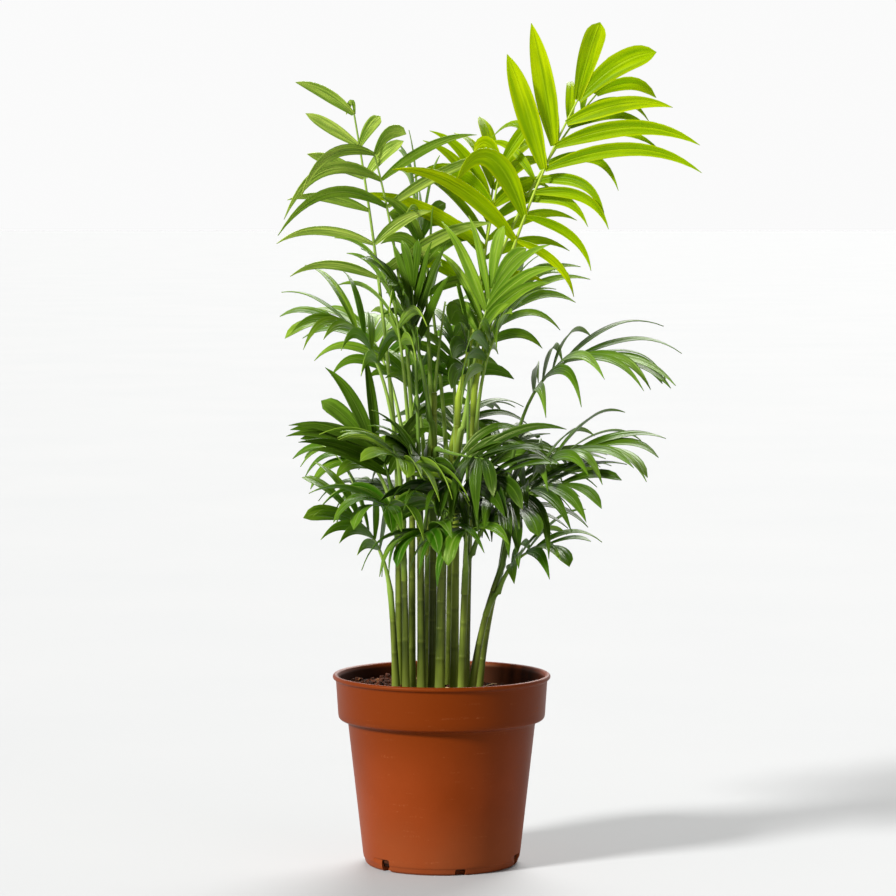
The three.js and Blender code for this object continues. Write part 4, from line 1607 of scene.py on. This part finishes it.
LITTER = (
    Litter("soil_crumbs", 1500, 71, (0.5, 1.9), (1, 1, 0.8), SOIL_FINISH),
    Litter("bark_chips", 70, 72, (0.9, 2.4), (2.2, 1, 0.4), BARK_FINISH),
    Litter("pale_grit", 42, 73, (0.5, 1.3), (1, 1, 0.9), GRIT_FINISH),
)


@dataclass
class Soil:
    """Plug of potting soil with crumbs, bark, grit and root fibres on it."""

    steps: int = 132
    wall: tuple = ((0, 2.5), (39.9, 2.5), (41.5, 6.2), (49.7, 79.5), (54.5, 82.6))
    rim: float = 54.9
    rings: int = 42
    crowding: float = 0.9  # below 1, rings stand closer together towards the rim
    lump_rate: float = 0.09
    lump_height: float = 1.5
    settled: float = 0.4  # depth of the even surface at the rim
    settled_reach: float = 3.0
    margin: float = 2.5  # between litter and rim
    perch: float = 0.25  # height of a lump's centre above the soil, as a share of its radius
    tilt: float = 0.12
    jitter: tuple[float, float] = (-0.3, 0.25)

    def build(self) -> None:
        """Build and dress the plug and what lies on it."""
        self.plug()
        for litter in LITTER:
            self.scatter(litter)
        RootFibres().build(self)

    def height(self, x: float, y: float) -> float:
        """Height of the rough surface, in millimetres."""
        spot = Vector((x * self.lump_rate, y * self.lump_rate, 3.0))
        return soil_height(x, y) + self.lump_height * noise.fractal(spot, 1.0, 2.0, 4)

    def plug(self) -> None:
        """The soil's body, from the pot's floor to its rough surface."""
        bm = bmesh.new()
        reaches = [(1 - i / self.rings) ** self.crowding for i in range(self.rings + 1)]
        tops = [(self.rim * reach, SOIL_LEVEL) for reach in reaches]
        spin_profile(bm, list(self.wall) + tops, self.steps)
        for vert in bm.verts:
            x, y, z = vert.co / MM
            if z > self.wall[-1][1] + 1:
                edge = clamp((self.rim - math.hypot(x, y)) / self.settled_reach, 0, 1)
                even = soil_height(x, y) - self.settled
                vert.co.z = lerp(even, self.height(x, y), edge) * MM
        for face in bm.faces:
            face.smooth = True
        piece = new_piece("potting_soil", bm, [MATERIALS[SOIL_FINISH.name]])
        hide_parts("soil")

    def scatter(self, litter: Litter) -> None:
        """Lay small rough lumps on the soil."""
        dice = Dice(litter.seed)
        low, high = litter.sizes
        bm = bmesh.new()
        for _ in range(litter.count):
            radius = (self.rim - self.margin) * math.sqrt(dice.cast(0, 1))
            turn = dice.cast(0, 2 * math.pi)
            x, y = radius * math.cos(turn), radius * math.sin(turn)
            size = low + (high - low) * dice.cast(0, 1) ** 2
            place = Vector((x, y, self.height(x, y) + size * self.perch)) * MM
            spins = [dice.cast(-math.pi, math.pi) for _ in range(3)]
            scale = [lerp(1.0, s, dice.cast(0.3, 1)) * size * MM for s in litter.stretch]
            matrix = (
                Matrix.Translation(place)
                @ Matrix.Rotation(spins[0], 4, "Z")
                @ Matrix.Rotation(spins[1] * self.tilt, 4, "X")
                @ Matrix.Rotation(spins[2] * self.tilt, 4, "Y")
                @ Matrix.Diagonal((*scale, 1.0))
            )
            verts = bmesh.ops.create_icosphere(bm, subdivisions=1, radius=1.0, matrix=matrix)
            for vert in verts["verts"]:
                vert.co += (vert.co - place) * dice.cast(*self.jitter)
        new_piece(litter.name, bm, [MATERIALS[litter.finish.name]])


@dataclass
class RootFibres:
    """Thin curled fibres on the soil."""

    count: int = 26
    seed: int = 74
    reach: float = 48.0  # radius within which a fibre starts
    edge: float = 52.0  # radius at which it ends
    steps: int = 8
    least: int = 4
    sides: int = 5
    raised: float = 0.6

    def build(self, soil: Soil) -> None:
        """Build and dress the fibres, which lie on the soil's rough surface."""
        dice = Dice(self.seed)
        bm = bmesh.new()
        for _ in range(self.count):
            points, thick = self.line(dice, soil)
            if len(points) < self.least:
                continue
            matrices = []
            for i, point in enumerate(points):
                ahead = points[min(i + 1, len(points) - 1)] - points[max(i - 1, 0)]
                along = ahead.normalized()
                matrices.append(section(point, along, square_to(UP, along), thick))
            sweep(bm, matrices, self.sides, [i / self.steps for i in range(len(points))])
        new_piece("root_fibres", bm, [MATERIALS[FIBRE_FINISH.name]])

    def line(self, dice: Dice, soil: Soil) -> tuple[list[Vector], float]:
        """Course of one fibre.

        Args:
            dice: The fibres' dice.
            soil: What they lie on.

        Returns:
            Its points, and its radius.
        """
        radius = self.reach * math.sqrt(dice.cast(0, 1))
        turn, heading = dice.cast(0, 2 * math.pi), dice.cast(0, 2 * math.pi)
        place = Vector((radius * math.cos(turn), radius * math.sin(turn)))
        curl, step, arch = dice.cast(-0.35, 0.35), dice.cast(0.9, 1.8), dice.cast(0.2, 2.2)
        thick = dice.cast(0.16, 0.3)
        points = []
        for i in range(self.steps + 1):
            heading += curl + dice.cast(-0.2, 0.2)
            place = place + Vector((math.cos(heading), math.sin(heading))) * step
            if place.length > self.edge:
                break
            lift = arch * math.sin(math.pi * i / self.steps)
            points.append(Vector((*place, soil.height(*place) + self.raised + lift)))
        return points, thick


# ---------------------------------------------------------------- studio


@dataclass
class Studio:
    """Pale floor, soft lights and the camera."""

    floor_size: float = 80.0
    lens: float = 146.85
    sensor: float = 36.0
    eye: tuple = (0.0035, -2.0, 0.366)
    aim: tuple = (0.0035, 0.0, 0.2295)
    sky: Colour = (0.97, 0.97, 0.97)
    front_light: float = 0.3
    back_light: float = 0.99
    lights: tuple = (
        ("key", (-1.0, -0.8, 0.72), 12, 5.4),
        ("fill", (0.9, -0.9, 0.5), 40, 0.35),
        ("back", (0.2, 0.9, 0.8), 40, 3.2),
    )

    def build(self) -> None:
        """Build everything that isn't part of the plant."""
        self.floor()
        for light in self.lights:
            self.light(*light)
        self.camera()
        self.world()
        bpy.context.scene.view_settings.view_transform = "Standard"

    def world(self) -> None:
        """Pale surroundings, brighter behind the plant than in front of it."""
        world = bpy.data.worlds.new("studio")
        world.use_nodes = True
        tree = world.node_tree
        way = tree.nodes.new("ShaderNodeTexCoord").outputs["Generated"]
        parts = tree.nodes.new("ShaderNodeSeparateXYZ")
        tree.links.new(way, parts.inputs[0])
        ramp = tree.nodes.new("ShaderNodeMapRange")
        ramp.interpolation_type = "SMOOTHSTEP"
        lights = {"To Min": self.front_light, "To Max": self.back_light}
        for key, value in {"From Min": 0.35, "From Max": 0.9, **lights}.items():
            ramp.inputs[key].default_value = value
        tree.links.new(parts.outputs[1], ramp.inputs["Value"])
        glow = tree.nodes["Background"]
        glow.inputs["Color"].default_value = (*self.sky, 1.0)
        tree.links.new(ramp.outputs[0], glow.inputs["Strength"])
        bpy.context.scene.world = world

    def floor(self) -> None:
        """Plain pale floor."""
        bm = bmesh.new()
        bmesh.ops.create_grid(bm, x_segments=1, y_segments=1, size=self.floor_size / 2)
        mesh = close_mesh("floor", bm)
        sh = Shader("floor")
        drift = sh.noise(3.0)
        shade = sh.blend(drift, (0.4, 0.405, 0.405), (0.43, 0.43, 0.425))
        mesh.materials.append(sh.finish({"Base Color": shade, "Roughness": 0.85}))
        floor = new_object("floor", mesh)

    def light(self, name: str, way: tuple, spread: float, power: float) -> None:
        """Add a soft distant light.

        Args:
            name: Name of the light.
            way: Direction that it comes from.
            spread: Its width in the sky, in degrees.
            power: Watts a square metre.
        """
        data = bpy.data.lights.new(name, "SUN")
        data.angle = math.radians(spread)
        data.energy = power
        lamp = new_object(name, data)
        lamp.rotation_euler = Vector(way).to_track_quat("Z", "Y").to_euler()

    def camera(self) -> None:
        """Long lens a little above the plant's middle."""
        data = bpy.data.cameras.new("camera")
        data.lens = self.lens
        data.sensor_width = self.sensor
        eye = new_object("camera", data)
        eye.location = self.eye
        aim = Vector(self.aim) - Vector(self.eye)
        eye.rotation_euler = aim.to_track_quat("-Z", "Y").to_euler()
        bpy.context.scene.camera = eye


def main() -> None:
    """Build the pot, the soil, the canes and the fronds, and the studio round them."""
    logging.basicConfig(level=logging.INFO, format="%(name)s: %(message)s")
    Pot().build()
    Soil().build()
    dice = Dice(5)
    for i, plan in enumerate(CANES):
        Cane(f"stem_{i + 1:02d}", plan, dice.cast(*INTERNODES)).build()
    pattern = LeafPattern()
    fronds = [Frond.grow(i) for i in range(len(FRONDS))]
    for frond in fronds:
        frond.build(pattern)
    LOG.info("%d leaflets", sum(len(frond.leaflets) for frond in fronds))
    Studio().build()


if __name__ == "__main__":
    main()
